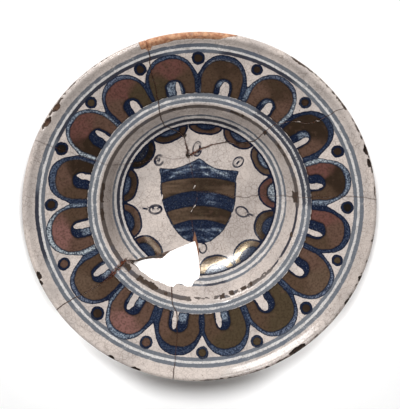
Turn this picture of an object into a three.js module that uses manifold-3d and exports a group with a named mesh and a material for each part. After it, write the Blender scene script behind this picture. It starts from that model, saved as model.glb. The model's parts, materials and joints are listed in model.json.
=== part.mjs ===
// A mended maiolica dish: six sherds, held together by thin seams of old adhesive, with one sherd lost.
// Millimetres. The foot ring stands on z = 0, the dish's axis is the Z axis,
// and the painted shield in its middle points along +Y.
import * as THREE from 'three';
import { mergeVertices } from 'three/addons/utils/BufferGeometryUtils.js';
import Module from 'manifold-3d';

const wasm = await Module();
wasm.setup();

// The upper face, from the middle outwards: flat well, steep wall, narrow collar, sloping brim and lip.
const wellRadius = 58.5; // where the floor of the well would meet the wall
const wallSpread = 11.7; // how far the wall leans out
const collarWidth = 7.8;
const brimWidth = 38.5;
const lipWidth = 8.5; // the turned-up edge outside the brim

// Heights, from the table upwards.
const footHeight = 4;
const floorThickness = 6.6;
const wallRise = 19.3;
const collarRise = 0.7;
const brimRise = 11.9;
const lipRise = 4.5;

// Thicknesses of the turned clay, square to its faces.
const wallThickness = 6.5;
const brimThickness = 5.5;
const lipThickness = 5; // of the lip's outer edge, upright
const crestWidth = 3; // of the lip's level top

// The foot ring, turned under the well.
const footRadius = 51.5; // outer radius where it stands
const footWidth = 5; // width of the ring that stands on the table
const footFlare = 2.5; // how much wider each side is where the ring joins the floor

// Lengths of the curved stretches, each measured back from the corner that it rounds.
const wellBend = 8;
const shoulderBend = 3;
const brimBend = 4;
const lipBend = 2.5;
const edgeBend = 1.8;
const undersideBend = 8;

// The mend: what stands between two sherds, and how the adhesive lies in it.
const seamThickness = 0.4;
const seamClearance = 0.3; // between the adhesive and each broken face
const seamSetback = 0.6; // how far the adhesive stays under the glaze
const seamEndGap = 1.5; // where seams meet, or reach the lost sherd

// The lost sherd's hole: vertical above the floor of the well, slanting through the floor below it.
const lossTaper = 0.93; // size of the hole at the table, as a share of its size at the floor
const lossLean = 2; // how far the slant carries the hole away from the shield

// Fineness of the turned form.
const turnSteps = 72;
const bendSteps = 3;
const sliceAngle = 15; // degrees between points of a cutting outline outside the rim
const cutMargin = 2; // how far cuts run past the dish, above and below

// Values that follow from the ones above.
const floorLevel = footHeight + floorThickness;
const shoulderRadius = wellRadius + wallSpread;
const shoulderLevel = floorLevel + wallRise;
const brimStartRadius = shoulderRadius + collarWidth;
const brimStartLevel = shoulderLevel + collarRise;
const brimSlope = brimRise / brimWidth;
const lipStartRadius = brimStartRadius + brimWidth;
const rimRadius = lipStartRadius + lipWidth;
const overallHeight = brimStartLevel + brimRise + lipRise;
const breakWidth = seamThickness + 2 * seamClearance;

// Points where breaks meet, as [share of the rim radius, degrees anticlockwise from +X].
const upperJunctionShare = [0.255, 104];
const lowerJunctionShare = [0.045, 107];
const lossCentreShare = [0.425, 246];

// Break lines, each from the inside outwards. Those that reach the rim run past it.
const topLeftShares = [
  upperJunctionShare, [0.335, 103.5], [0.38, 103], [0.44, 112], [0.485, 115.5],
  [0.61, 112], [0.695, 110.5], [0.84, 109], [0.92, 108], [1.03, 107.5],
];
const topRightShares = [
  upperJunctionShare, [0.275, 94], [0.305, 82.5], [0.325, 78], [0.36, 67], [0.4, 53.5], [0.43, 50],
  [0.46, 47], [0.55, 48], [0.63, 46.5], [0.7, 43], [0.76, 38], [0.81, 36], [0.92, 35.5], [1.03, 34.5],
];
const rightShares = [
  lowerJunctionShare, [0.12, 15], [0.215, 3], [0.275, 2], [0.3, 4], [0.41, 2.5], [0.5, 3.5],
  [0.625, 3.5], [0.89, 3.5], [1.03, 2],
];
const leftShares = [
  upperJunctionShare, [0.26, 114], [0.28, 123.5], [0.32, 130], [0.36, 141], [0.405, 149],
  [0.485, 155.5], [0.63, 157.5], [1.03, 157.5],
];
const lowerLeftShares = [
  lossCentreShare, [0.525, 220], [0.545, 218], [0.59, 219], [0.705, 219.5], [0.81, 218], [0.86, 217],
  [0.945, 216], [1.03, 216],
];
const bottomShares = [
  lossCentreShare, [0.515, 252.5], [0.6, 255.5], [0.65, 259], [0.73, 260], [0.835, 261], [1.03, 261.5],
];
const shieldUpperShares = [
  upperJunctionShare, [0.175, 105], [0.075, 109], lowerJunctionShare,
];
const shieldLowerShares = [
  lowerJunctionShare, [0.025, 228], [0.07, 230], [0.095, 240], [0.145, 253.5], [0.24, 264], lossCentreShare,
];

// Outline of the lost sherd on the upper face.
const lossShares = [
  [0.24, 264], [0.34, 270.5], [0.395, 271], [0.44, 271], [0.465, 268.5], [0.505, 265.5], [0.495, 258],
  [0.52, 252], [0.52, 242], [0.52, 232], [0.52, 224], [0.525, 221], [0.495, 224], [0.45, 228],
  [0.415, 232.5], [0.375, 236.5], [0.33, 241.5], [0.255, 254],
];

const glazedClay = new THREE.MeshStandardMaterial({
  color: 0xcfc1b9, roughness: 0.25, metalness: 0, flatShading: true,
});
const agedAdhesive = new THREE.MeshStandardMaterial({
  color: 0x8a5a2c, roughness: 0.5, metalness: 0, flatShading: true,
});

// A point of a break line or an outline, in millimetres.
function place([share, degrees]) {
  const angle = THREE.MathUtils.degToRad(degrees);
  return new THREE.Vector2(share * rimRadius * Math.cos(angle), share * rimRadius * Math.sin(angle));
}

// A closed mesh as a solid that can be joined and cut.
function solid(geometry) {
  geometry.deleteAttribute('normal');
  geometry.deleteAttribute('uv');
  const merged = mergeVertices(geometry);
  const corners = merged.index.array;
  const triangles = [];
  for (let i = 0; i < corners.length; i += 3) {
    const [a, b, c] = corners.slice(i, i + 3);
    if (a !== b && b !== c && c !== a) triangles.push(a, b, c);
  }
  return new wasm.Manifold(new wasm.Mesh({
    numProp: 3,
    vertProperties: Float32Array.from(merged.attributes.position.array),
    triVerts: Uint32Array.from(triangles),
  }));
}

// A named piece of the dish, made from a solid.
function piece(name, body, material) {
  const mesh = body.getMesh();
  const geometry = new THREE.BufferGeometry();
  geometry.setAttribute('position', new THREE.BufferAttribute(mesh.vertProperties, mesh.numProp));
  geometry.setIndex(new THREE.BufferAttribute(mesh.triVerts, 1));
  geometry.computeVertexNormals();
  const result = new THREE.Mesh(geometry, material);
  result.name = name;
  return result;
}

// A corner of a section, with the length of the curve that rounds it.
function corner(radius, height, bend = 0) {
  return { point: new THREE.Vector2(radius, height), bend };
}

// The point at a given distance from one point towards another, no further than half way.
function towards(from, to, distance) {
  const reach = Math.min(distance, from.distanceTo(to) / 2);
  return to.clone().sub(from).setLength(reach).add(from);
}

// Points of a section whose corners are rounded.
function roundedSection(corners) {
  const path = new THREE.Path();
  path.moveTo(corners[0].point.x, corners[0].point.y);
  for (let i = 1; i < corners.length - 1; i += 1) {
    const { point, bend } = corners[i];
    const before = towards(point, corners[i - 1].point, bend);
    const after = towards(point, corners[i + 1].point, bend);
    path.lineTo(before.x, before.y);
    path.quadraticCurveTo(point.x, point.y, after.x, after.y);
  }
  const last = corners[corners.length - 1].point;
  path.lineTo(last.x, last.y);
  return path.getPoints(bendSteps);
}

// A section turned about the dish's axis. It runs anticlockwise, outwards below and inwards above.
function turned(section) {
  return solid(new THREE.LatheGeometry(section, turnSteps).rotateX(Math.PI / 2));
}

// The corners of the upper face, from the axis to the start of the lip, moved down into the clay
// by a depth that each stretch has for itself.
function faceCorners(floorDepth, wallDepth, brimDepth) {
  const face = [
    new THREE.Vector2(0, floorLevel),
    new THREE.Vector2(wellRadius, floorLevel),
    new THREE.Vector2(shoulderRadius, shoulderLevel),
    new THREE.Vector2(brimStartRadius, brimStartLevel),
    new THREE.Vector2(rimRadius, brimStartLevel + brimSlope * (rimRadius - brimStartRadius)),
  ];
  const depths = [floorDepth, wallDepth, brimDepth, brimDepth];
  const stretches = depths.map((depth, i) => {
    const direction = face[i + 1].clone().sub(face[i]).normalize();
    const inwards = new THREE.Vector2(direction.y, -direction.x);
    return { start: face[i].clone().addScaledVector(inwards, depth), direction };
  });
  const moved = [stretches[0].start];
  for (let i = 1; i < stretches.length; i += 1) {
    moved.push(crossing(stretches[i - 1], stretches[i]));
  }
  return moved;
}

// Where two straight stretches cross.
function crossing(first, second) {
  const between = second.start.clone().sub(first.start);
  const along = between.cross(second.direction) / first.direction.cross(second.direction);
  return first.start.clone().addScaledVector(first.direction, along);
}

// Height of the brim at a radius, at a depth under its upper face.
function brimHeight(radius, depth) {
  const depthBelow = depth * Math.hypot(1, brimSlope);
  return brimStartLevel + brimSlope * (radius - brimStartRadius) - depthBelow;
}

// The turned body of the dish without its foot, or its core at some depth under the glaze.
function turnedBody(depth) {
  const below = faceCorners(floorThickness - depth, wallThickness - depth, brimThickness - depth);
  const above = faceCorners(depth, depth, depth);
  const edge = rimRadius - depth;
  const crest = overallHeight - depth;
  const bendsBelow = [0, undersideBend, undersideBend, undersideBend];
  const bendsAbove = [0, wellBend, shoulderBend, brimBend];
  const underside = below.map((point, i) => corner(point.x, point.y, bendsBelow[i]));
  const upperFace = above.map((point, i) => corner(point.x, point.y, bendsAbove[i]));
  const lip = [
    corner(lipStartRadius, brimHeight(lipStartRadius, brimThickness - depth), lipBend),
    corner(edge, overallHeight - lipThickness + depth, edgeBend),
    corner(edge, crest, edgeBend),
    corner(rimRadius - crestWidth, crest, lipBend),
    corner(lipStartRadius, brimHeight(lipStartRadius, depth), lipBend),
  ];
  return turned(roundedSection([...underside, ...lip, ...upperFace.reverse()]));
}

// The foot ring, which reaches half way up into the floor.
function footRing() {
  const inner = footRadius - footWidth;
  const top = footHeight + floorThickness / 2;
  const section = [
    new THREE.Vector2(inner, 0),
    new THREE.Vector2(footRadius, 0),
    new THREE.Vector2(footRadius + footFlare, top),
    new THREE.Vector2(inner - footFlare, top),
    new THREE.Vector2(inner, 0),
  ];
  return turned(section);
}

// An upright block with a given outline. Unless it is told where to start, it runs past the dish
// above and below.
function block(outline, bottom = -cutMargin) {
  const depth = overallHeight + cutMargin - bottom;
  const geometry = new THREE.ExtrudeGeometry(new THREE.Shape(outline), { depth, bevelEnabled: false });
  return solid(geometry.translate(0, 0, bottom));
}

// A line with a length taken off each of its ends, or added where the length is negative.
function trimmed(line, startLength, endLength) {
  const points = line.map(place);
  const last = points.length - 1;
  const shiftEnd = (end, next, length) => {
    const direction = next.clone().sub(end).normalize();
    return end.clone().addScaledVector(direction, length);
  };
  const start = shiftEnd(points[0], points[1], startLength);
  const end = shiftEnd(points[last], points[last - 1], endLength);
  return [start, ...points.slice(1, last), end];
}

// The outline of a strip of even width along a line.
function stripOutline(line, width) {
  const side = (sign) => line.map((point, i) => {
    const before = line[Math.max(i - 1, 0)];
    const after = line[Math.min(i + 1, line.length - 1)];
    const arriving = point === before ? after.clone().sub(point) : point.clone().sub(before);
    const leaving = point === after ? arriving.clone() : after.clone().sub(point);
    const along = arriving.normalize().clone().add(leaving.normalize()).normalize();
    const reach = sign * width / 2 / along.dot(arriving);
    return new THREE.Vector2(point.x - along.y * reach, point.y + along.x * reach);
  });
  return [...side(-1), ...side(1).reverse()];
}

// The hole of the lost sherd.
function lostSherd() {
  const outline = lossShares.map(place);
  const centre = place(lossCentreShare);
  const upper = block(outline, floorLevel);
  const depth = floorLevel + cutMargin;
  const lower = new THREE.ExtrudeGeometry(new THREE.Shape(outline), { depth, bevelEnabled: false });
  const corners = lower.attributes.position;
  for (let i = 0; i < corners.count; i += 1) {
    if (corners.getZ(i) < depth / 2) {
      corners.setX(i, centre.x + (corners.getX(i) - centre.x) * lossTaper);
      corners.setY(i, centre.y + (corners.getY(i) - centre.y) * lossTaper - lossLean);
    }
  }
  return upper.add(solid(lower.translate(0, 0, -cutMargin)));
}

// The outline of one sherd: in along one break from the rim, through the middle,
// out along the next break, and back round outside the rim.
function sherdOutline(from, through, to) {
  const path = [...from.slice().reverse(), ...through, ...to];
  const startAngle = from[from.length - 1][1];
  const endAngle = to[to.length - 1][1];
  const span = (endAngle - startAngle + 360) % 360;
  const steps = Math.ceil(span / sliceAngle);
  for (let i = 0; i <= steps; i += 1) {
    path.push([1.2, startAngle + span * (1 - i / steps)]);
  }
  const outline = path.map(place);
  return outline.filter((point, i) => i === 0 || point.distanceTo(outline[i - 1]) > 0);
}

const seams = {
  seam_top_left: topLeftShares,
  seam_top_right: topRightShares,
  seam_right: rightShares,
  seam_left: leftShares,
  seam_lower_left: lowerLeftShares.slice(1),
  seam_bottom: bottomShares.slice(1),
  seam_shield_upper: shieldUpperShares,
  seam_shield_lower: shieldLowerShares.slice(0, -1),
};

const sherds = {
  sherd_top: sherdOutline(topRightShares, [], topLeftShares),
  sherd_upper_left: sherdOutline(topLeftShares, [], leftShares),
  sherd_left: sherdOutline(leftShares, [...shieldUpperShares, ...shieldLowerShares], lowerLeftShares),
  sherd_bottom: sherdOutline(lowerLeftShares, [], bottomShares),
  sherd_lower_right: sherdOutline(bottomShares, shieldLowerShares.slice().reverse(), rightShares),
  sherd_upper_right: sherdOutline(rightShares, shieldUpperShares.slice().reverse(), topRightShares),
};

const breakLines = [
  topLeftShares, topRightShares, rightShares, leftShares,
  lowerLeftShares, bottomShares, shieldUpperShares, shieldLowerShares,
];

// The whole dish with every break opened and the lost sherd gone.
function brokenDish() {
  let dish = turnedBody(0).add(footRing()).subtract(lostSherd());
  for (const line of breakLines) {
    const strip = stripOutline(trimmed(line, -breakWidth / 2, -breakWidth / 2), breakWidth);
    dish = dish.subtract(block(strip));
  }
  return dish;
}

const plate = new THREE.Group();
const dish = brokenDish();
for (const [name, outline] of Object.entries(sherds)) {
  plate.add(piece(name, dish.intersect(block(outline)), glazedClay));
}

const core = turnedBody(seamSetback);
for (const [name, line] of Object.entries(seams)) {
  const strip = stripOutline(trimmed(line, seamEndGap, seamEndGap), seamThickness);
  plate.add(piece(name, core.intersect(block(strip)), agedAdhesive));
}

export default plate;
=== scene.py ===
"""A maiolica dish that was broken and stuck together again: six painted sherds, the hole where
another is lost, and the old adhesive in the breaks.

The dish stands on z = 0 with its axis on the Z axis, and its shield points along +Y. Sizes are
in millimetres here and become metres when a mesh is made. Angles are in degrees, anticlockwise
from +X, as the photograph shows them.
"""
import json
import math

import bmesh
import bpy
import numpy as np
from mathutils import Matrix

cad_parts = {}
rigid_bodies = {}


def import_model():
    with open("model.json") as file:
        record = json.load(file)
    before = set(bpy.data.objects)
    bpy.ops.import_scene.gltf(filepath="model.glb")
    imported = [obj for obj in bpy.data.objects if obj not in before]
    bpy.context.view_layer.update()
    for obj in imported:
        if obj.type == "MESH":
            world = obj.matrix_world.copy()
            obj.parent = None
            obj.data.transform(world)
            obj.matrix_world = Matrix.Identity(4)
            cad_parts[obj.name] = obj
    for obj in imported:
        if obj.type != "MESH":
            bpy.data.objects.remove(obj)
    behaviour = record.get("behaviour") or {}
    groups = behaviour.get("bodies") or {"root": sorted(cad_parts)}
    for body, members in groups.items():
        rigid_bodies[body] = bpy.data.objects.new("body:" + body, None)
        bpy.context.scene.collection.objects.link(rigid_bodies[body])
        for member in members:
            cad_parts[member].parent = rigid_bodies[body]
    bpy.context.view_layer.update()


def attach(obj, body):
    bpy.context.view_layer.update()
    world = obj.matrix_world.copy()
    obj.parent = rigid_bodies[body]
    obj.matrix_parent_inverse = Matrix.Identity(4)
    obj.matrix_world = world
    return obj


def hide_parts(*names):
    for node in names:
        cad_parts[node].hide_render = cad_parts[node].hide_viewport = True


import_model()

MILLIMETRE = 0.001

# The turned form: the upper face from the middle outwards, then the thicknesses and the foot.
WELL_RADIUS = 58.5
WALL_SPREAD = 11.7
COLLAR_WIDTH = 7.8
BRIM_WIDTH = 38.5
LIP_WIDTH = 8.5
FOOT_HEIGHT = 4.0
FLOOR_THICKNESS = 6.6
WALL_RISE = 19.3
COLLAR_RISE = 0.7
BRIM_RISE = 11.9
LIP_RISE = 4.5
WALL_THICKNESS = 6.5
BRIM_THICKNESS = 5.5
LIP_THICKNESS = 5.0
CREST_WIDTH = 3.0
FOOT_RADIUS = 51.5
FOOT_WIDTH = 5.0
FOOT_FLARE = 2.5
# How far the corners under the brim and at the foot of the wall are rounded.
UNDER_BEND = 8

FLOOR_LEVEL = FOOT_HEIGHT + FLOOR_THICKNESS
SHOULDER = (WELL_RADIUS + WALL_SPREAD, FLOOR_LEVEL + WALL_RISE)
BRIM_START = (SHOULDER[0] + COLLAR_WIDTH, SHOULDER[1] + COLLAR_RISE)
BRIM_SLOPE = BRIM_RISE / BRIM_WIDTH
LIP_START = (BRIM_START[0] + BRIM_WIDTH, BRIM_START[1] + BRIM_RISE)
RIM_RADIUS = LIP_START[0] + LIP_WIDTH
HEIGHT = LIP_START[1] + LIP_RISE
# The outermost edge, a hair inside the box of the solids.
RIM_EDGE = (RIM_RADIUS - 0.03, HEIGHT - LIP_THICKNESS * 0.6)
FOOT_OUTSIDE = FOOT_RADIUS + FOOT_FLARE
FOOT_INSIDE = FOOT_RADIUS - FOOT_WIDTH - FOOT_FLARE
# The floor of the well rises gently from here to the foot of the wall.
DISHED_FROM = 45
DISHED_SLOPE = 0.176
WALL_SLOPE = WALL_RISE / WALL_SPREAD
DISHED_WIDTH = (WELL_RADIUS - DISHED_FROM) * WALL_SLOPE / (WALL_SLOPE - DISHED_SLOPE)
WALL_FOOT = (DISHED_FROM + DISHED_WIDTH, FLOOR_LEVEL + DISHED_WIDTH * DISHED_SLOPE)

# Break lines, from the inside outwards, as [share of the rim radius, degrees].
UPPER_JUNCTION = (0.255, 104)
LOWER_JUNCTION = (0.045, 107)
LOSS_CENTRE = (0.425, 246)
BREAKS = {
    "seam_top_left": [
        UPPER_JUNCTION, (0.335, 103.5), (0.38, 103), (0.44, 112), (0.485, 115.5),
        (0.61, 112), (0.695, 110.5), (0.84, 109), (0.92, 108), (1.03, 107.5)],
    "seam_top_right": [
        UPPER_JUNCTION, (0.275, 94), (0.305, 82.5), (0.325, 78), (0.36, 67), (0.4, 53.5),
        (0.43, 50), (0.46, 47), (0.55, 48), (0.63, 46.5), (0.7, 43), (0.76, 38), (0.81, 36),
        (0.92, 35.5), (1.03, 34.5)],
    "seam_right": [
        LOWER_JUNCTION, (0.12, 15), (0.215, 3), (0.275, 2), (0.3, 4), (0.41, 2.5), (0.5, 3.5),
        (0.625, 3.5), (0.89, 3.5), (1.03, 2)],
    "seam_left": [
        UPPER_JUNCTION, (0.26, 114), (0.28, 123.5), (0.32, 130), (0.36, 141), (0.405, 149),
        (0.485, 155.5), (0.63, 157.5), (1.03, 157.5)],
    "seam_lower_left": [
        LOSS_CENTRE, (0.525, 220), (0.545, 218), (0.59, 219), (0.705, 219.5), (0.81, 218),
        (0.86, 217), (0.945, 216), (1.03, 216)],
    "seam_bottom": [
        LOSS_CENTRE, (0.515, 252.5), (0.6, 255.5), (0.65, 259), (0.73, 260), (0.835, 261),
        (1.03, 261.5)],
    "seam_shield_upper": [UPPER_JUNCTION, (0.175, 105), (0.075, 109), LOWER_JUNCTION],
    "seam_shield_lower": [
        LOWER_JUNCTION, (0.025, 228), (0.07, 230), (0.095, 240), (0.145, 253.5), (0.24, 264),
        LOSS_CENTRE],
}
# How each break shows on the glaze: half its width in millimetres, and how dark dirt made it.
BREAK_LOOK = {
    "seam_top_left": (0.14, 1.1), "seam_top_right": (0.16, 1.15), "seam_right": (0.05, 0.5),
    "seam_left": (0.04, 0.25), "seam_lower_left": (0.17, 1.0), "seam_bottom": (0.13, 0.95),
    "seam_shield_upper": (0.035, 0.2), "seam_shield_lower": (0.035, 0.2),
}
# Breaks that start at the lost sherd have no adhesive inside its hole.
SEAM_SKIPS_FIRST = ("seam_lower_left", "seam_bottom")
SEAM_SKIPS_LAST = ("seam_shield_lower",)
# Outline of the lost sherd on the upper face.
LOSS_OUTLINE = [
    (0.238, 264), (0.25, 265.5), (0.304, 268.2), (0.348, 269.3), (0.4, 270.5), (0.44, 270.4),
    (0.456, 269.6), (0.468, 266), (0.496, 265.4), (0.498, 262.5), (0.493, 258.6), (0.494, 255),
    (0.515, 252.3), (0.52, 242), (0.52, 232), (0.52, 224), (0.525, 221), (0.495, 223.5),
    (0.445, 227.5), (0.41, 232), (0.37, 236), (0.332, 241.5), (0.267, 255.3), (0.247, 261.5),
]
# Where a flake of glaze went with the lost sherd, beside the right edge of its hole.
FLAKED_EDGE = [
    (-3.4, -22.5), (-2.1, -28), (-0.7, -33), (0, -37), (-0.3, -40.5), (-2, -40.5), (-4, -36),
    (-5, -31), (-4, -28),
]
# Each sherd by the span of angles where it reaches the rim.
SHERDS = {
    "sherd_upper_right": (2, 35),
    "sherd_top": (35, 108),
    "sherd_upper_left": (108, 157.5),
    "sherd_left": (157.5, 216),
    "sherd_bottom": (216, 261.5),
    "sherd_lower_right": (261.5, 362),
}


# Points, noise and lines

def polar(radius, degrees):
    """The plan point at a radius and an angle."""
    angle = np.radians(degrees)
    return np.stack([radius * np.cos(angle), radius * np.sin(angle)], -1)


def placed(shares):
    """Plan points of a line written in shares of the rim radius."""
    return np.array([polar(share * RIM_RADIUS, degrees) for share, degrees in shares])


def smoothstep(value, low, high):
    """0 below low, 1 above high, smooth between. low may be above high."""
    share = np.clip((value - low) / (high - low), 0, 1)
    return share * share * (3 - 2 * share)


def turn_between(angles, centre):
    """How far angles lie past a centre angle, from -180 to 180."""
    return (angles - centre + 180) % 360 - 180


def past_span(angles, start, end):
    """How many degrees angles lie outside a span, negative inside it."""
    return np.abs(turn_between(angles, (start + end) / 2)) - (end - start) / 2


def near_angle(angles, centre, nothing, all_of_it):
    """1 round a centre angle and 0 away from it, given how many degrees off each one is reached."""
    return smoothstep(np.abs(turn_between(angles, centre)), nothing, all_of_it)


def radius_and_angle(points):
    """The radius of each point, and its angle from 0 to 360."""
    angle = np.degrees(np.arctan2(points[:, 1], points[:, 0])) % 360
    return np.hypot(points[:, 0], points[:, 1]), angle


def at_height(plan, height):
    """Points over plan points."""
    return np.column_stack([plan, np.full(len(plan), height)])


class Noise:
    """Smooth random values over space, from about -1 to 1, the same in every run."""

    CELLS = 32

    def __init__(self, seed):
        self.values = np.random.default_rng(seed).uniform(-1, 1, (self.CELLS,) * 3)

    def one(self, points):
        """The noise at points measured in its own cells."""
        low = np.floor(points).astype(int)
        part = points - low
        part = part * part * (3 - 2 * part)
        total = 0
        for corner in np.ndindex(2, 2, 2):
            index = (low + corner) % self.CELLS
            weight = np.prod(np.where(corner, part, 1 - part), -1)
            total = total + weight * self.values[tuple(index.T)]
        return total

    def __call__(self, points, size, layers=1):
        """Values at points (n, 3) with features of a size in millimetres, and finer layers."""
        points = np.asarray(points, float)
        if points.shape[-1] == 2:
            points = at_height(points, 0)
        total = 0
        for layer in range(layers):
            total = total + self.one(points / size * 2 ** layer + 7.3 * layer) * 0.5 ** layer
        return total


form_noise = Noise(11)
break_noise = Noise(23)
paint_noise = Noise(37)
tone_noise = Noise(41)


def resampled(points, step, closed=False):
    """The same line with points an even step apart, and how far along it each one lies."""
    points = np.asarray(points, float)
    if closed:
        points = np.vstack([points, points[:1]])
    along = np.concatenate([[0], np.cumsum(np.linalg.norm(np.diff(points, axis=0), axis=1))])
    count = max(2, int(round(along[-1] / step)))
    places = np.linspace(0, along[-1], count + 1)
    if closed:
        places = places[:-1]
    line = np.column_stack([np.interp(places, along, points[:, k]) for k in range(points.shape[1])])
    return line, places


def rounded_line(points, closed=False, passes=2):
    """A line with its corners cut, so that it bends as a hand-drawn or broken line does."""
    points = np.asarray(points, float)
    for _ in range(passes):
        after = np.roll(points, -1, axis=0) if closed else points[1:]
        before = points if closed else points[:-1]
        cut = np.stack([0.75 * before + 0.25 * after, 0.25 * before + 0.75 * after], 1)
        cut = cut.reshape(-1, points.shape[1])
        points = cut if closed else np.vstack([points[:1], cut, points[-1:]])
    return points


def sideways(line, closed=False):
    """Unit vectors to the left of a plan line, at each of its points."""
    if closed:
        along = np.roll(line, -1, axis=0) - np.roll(line, 1, axis=0)
    else:
        along = np.gradient(line, axis=0)
    along = along / np.linalg.norm(along, axis=1, keepdims=True)
    return np.column_stack([-along[:, 1], along[:, 0]])


def line_distance(points, line, closed=False):
    """How far plan points lie from a line, and for a closed line the negative inside it."""
    starts = line if closed else line[:-1]
    ends = np.roll(line, -1, axis=0) if closed else line[1:]
    nearest = np.full(len(points), 1e9)
    crossings = np.zeros(len(points), int)
    for start, end in zip(starts, ends):
        run = end - start
        share = np.clip((points - start) @ run / max(run @ run, 1e-12), 0, 1)
        nearest = np.minimum(nearest, np.linalg.norm(points - start - share[:, None] * run, axis=1))
        spans = (start[1] > points[:, 1]) != (end[1] > points[:, 1])
        rise = run[1] if abs(run[1]) > 1e-12 else 1e-12
        crossings += spans & (points[:, 0] < start[0] + run[0] * (points[:, 1] - start[1]) / rise)
    if closed:
        nearest = np.where(crossings % 2 == 1, -nearest, nearest)
    return nearest


def stroke_distance(points, line):
    """Signed distance to an open line, and 1 beside it, falling to 0 past its ends."""
    nearest = np.full(len(points), 1e9)
    signed = np.full(len(points), 1e9)
    for start, end in zip(line[:-1], line[1:]):
        run = end - start
        share = np.clip((points - start) @ run / (run @ run), 0, 1)
        away = points - start - share[:, None] * run
        distance = np.linalg.norm(away, axis=1)
        side = np.sign(run[0] * away[:, 1] - run[1] * away[:, 0])
        closer = distance < nearest
        nearest = np.where(closer, distance, nearest)
        signed = np.where(closer, distance * side, signed)
    ends = np.minimum(*(np.linalg.norm(points - line[end], axis=1) for end in (0, -1)))
    return signed, smoothstep(ends, 0.2, 1.2)


# The section of the dish

UPPER_STEP = 0.75
LOWER_STEP = 1.3
# The places of the two glazes among the dish's materials. The fired clay lies between them.
PAINTED = 0
UNPAINTED = 2
# How many vertices the widest rings of the mesh have.
UPPER_SPOKES = 1024
LOWER_SPOKES = 512


def rounded_section(corners, step):
    """A section whose corners are rounded by curves. Each corner is (radius, height, bend)."""
    points = [np.array(corners[0][:2], float)]
    for before, corner, after in zip(corners, corners[1:], corners[2:]):
        place, bend = np.array(corner[:2], float), corner[2]
        arms = []
        for other in (before, after):
            arm = np.array(other[:2], float) - place
            length = np.linalg.norm(arm)
            arms.append(place + arm / length * min(bend, length / 2))
        share = np.linspace(0, 1, 13)[:, None]
        curve = (1 - share) ** 2 * arms[0] + 2 * share * (1 - share) * place + share ** 2 * arms[1]
        points.extend(curve)
    points.append(np.array(corners[-1][:2], float))
    return resampled(points, step)[0]


def brim_height(radius, depth=0.0):
    """Height of the straight brim at a radius, at a depth under its upper face."""
    return BRIM_START[1] + BRIM_SLOPE * (radius - BRIM_START[0]) - depth * math.hypot(1, BRIM_SLOPE)


def under_corners():
    """The corners of the underside, from the brim inwards to the foot."""
    slant = math.hypot(WALL_SPREAD, WALL_RISE)
    radius = WELL_RADIUS + WALL_THICKNESS * WALL_RISE / slant
    height = FLOOR_LEVEL - WALL_THICKNESS * WALL_SPREAD / slant
    slope = WALL_SPREAD / WALL_RISE
    rise = (brim_height(radius, BRIM_THICKNESS) - height) / (1 - BRIM_SLOPE * slope)
    return [
        (radius + slope * rise, height + rise, UNDER_BEND),
        (radius - slope * (height - FOOT_HEIGHT), FOOT_HEIGHT, UNDER_BEND),
    ]


def upper_section():
    """From the axis out over the lip to the sharpest part of the rim."""
    return rounded_section([
        (0, FLOOR_LEVEL, 0),
        (DISHED_FROM, FLOOR_LEVEL, 9),
        (*WALL_FOOT, 6),
        (*SHOULDER, 3),
        (*BRIM_START, 1),
        (*LIP_START, 3),
        (RIM_RADIUS - CREST_WIDTH, HEIGHT, 2.2),
        (RIM_EDGE[0], HEIGHT - 0.9, 2.6),
        (*RIM_EDGE, 0),
    ], UPPER_STEP)


def lower_section():
    """From the rim in under the brim, down the foot and across the underside to the axis."""
    return rounded_section([
        (*RIM_EDGE, 0),
        (RIM_RADIUS - 0.6, HEIGHT - LIP_THICKNESS, 1.6),
        (LIP_START[0], brim_height(LIP_START[0], BRIM_THICKNESS), 4),
        *under_corners(),
        (FOOT_OUTSIDE, FOOT_HEIGHT, 1.0),
        (FOOT_RADIUS, 0, 0.9),
        (FOOT_RADIUS - FOOT_WIDTH, 0, 0.9),
        (FOOT_INSIDE, FOOT_HEIGHT, 1.8),
        (0, FOOT_HEIGHT, 0),
    ], LOWER_STEP)


UPPER = upper_section()
LOWER = lower_section()
BASE = LOWER[(LOWER[:, 0] > FOOT_OUTSIDE) | (LOWER[:, 0] < FOOT_INSIDE)][::-1]


def face_height(radius):
    """Height of the upper face at a radius, without the small unevenness of the clay."""
    return np.interp(radius, UPPER[:, 0], UPPER[:, 1])


def base_height(radius):
    """Height of the underside at a radius, without the foot ring."""
    return np.interp(radius, BASE[:, 0], BASE[:, 1])


# Damage to the glaze: bare clay on the rim, and the worn ridge at the top of the wall

# Millimetres in a degree, along the rim and along the ridge.
RIM_DEGREE = 2.0
RIDGE_DEGREE = 1.2
# The strip of rim that lost its glaze: its span of angle, the radius of its inner edge, the steps
# of that edge as (how far inwards, where the step starts, where it ends), and a notch in it.
BARE_SPAN = (77.5, 110)
BARE_INNER = 121.2
BARE_STEPS = [(1.9, 80, 85), (0.9, 98, 102), (-3, 83, 76.5)]
BARE_NOTCH_DEPTH = 2.2
BARE_NOTCH_ANGLE = 107.5


def bare_rim(radius, angle):
    """Distance in millimetres to the strip of rim that lost its glaze, negative inside it."""
    inner = BARE_INNER - BARE_NOTCH_DEPTH * near_angle(angle, BARE_NOTCH_ANGLE, 1.3, 0.4)
    for step, start, end in BARE_STEPS:
        inner = inner - step * smoothstep(angle, start, end)
    ends = np.maximum(BARE_SPAN[0] - angle, angle - BARE_SPAN[1]) * 2.1
    return np.maximum(inner - radius, ends)


# Spans of angle where the ridge is worn to the clay, with the radius where each patch starts.
WORN_RIDGE = [
    (0, 7, 66.2), (28, 31, 68.2), (34, 37, 68.4), (46, 48.5, 67.4), (63, 72, 68), (94, 108, 69),
    (168, 180, 67.6), (183, 190, 68), (220, 224.5, 67.2), (231, 245, 66.8), (248, 251, 68.2),
    (282, 285, 67.4), (288, 291, 67.2), (295, 299, 67.3), (301, 303, 67.6), (340, 343, 68),
]
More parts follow.
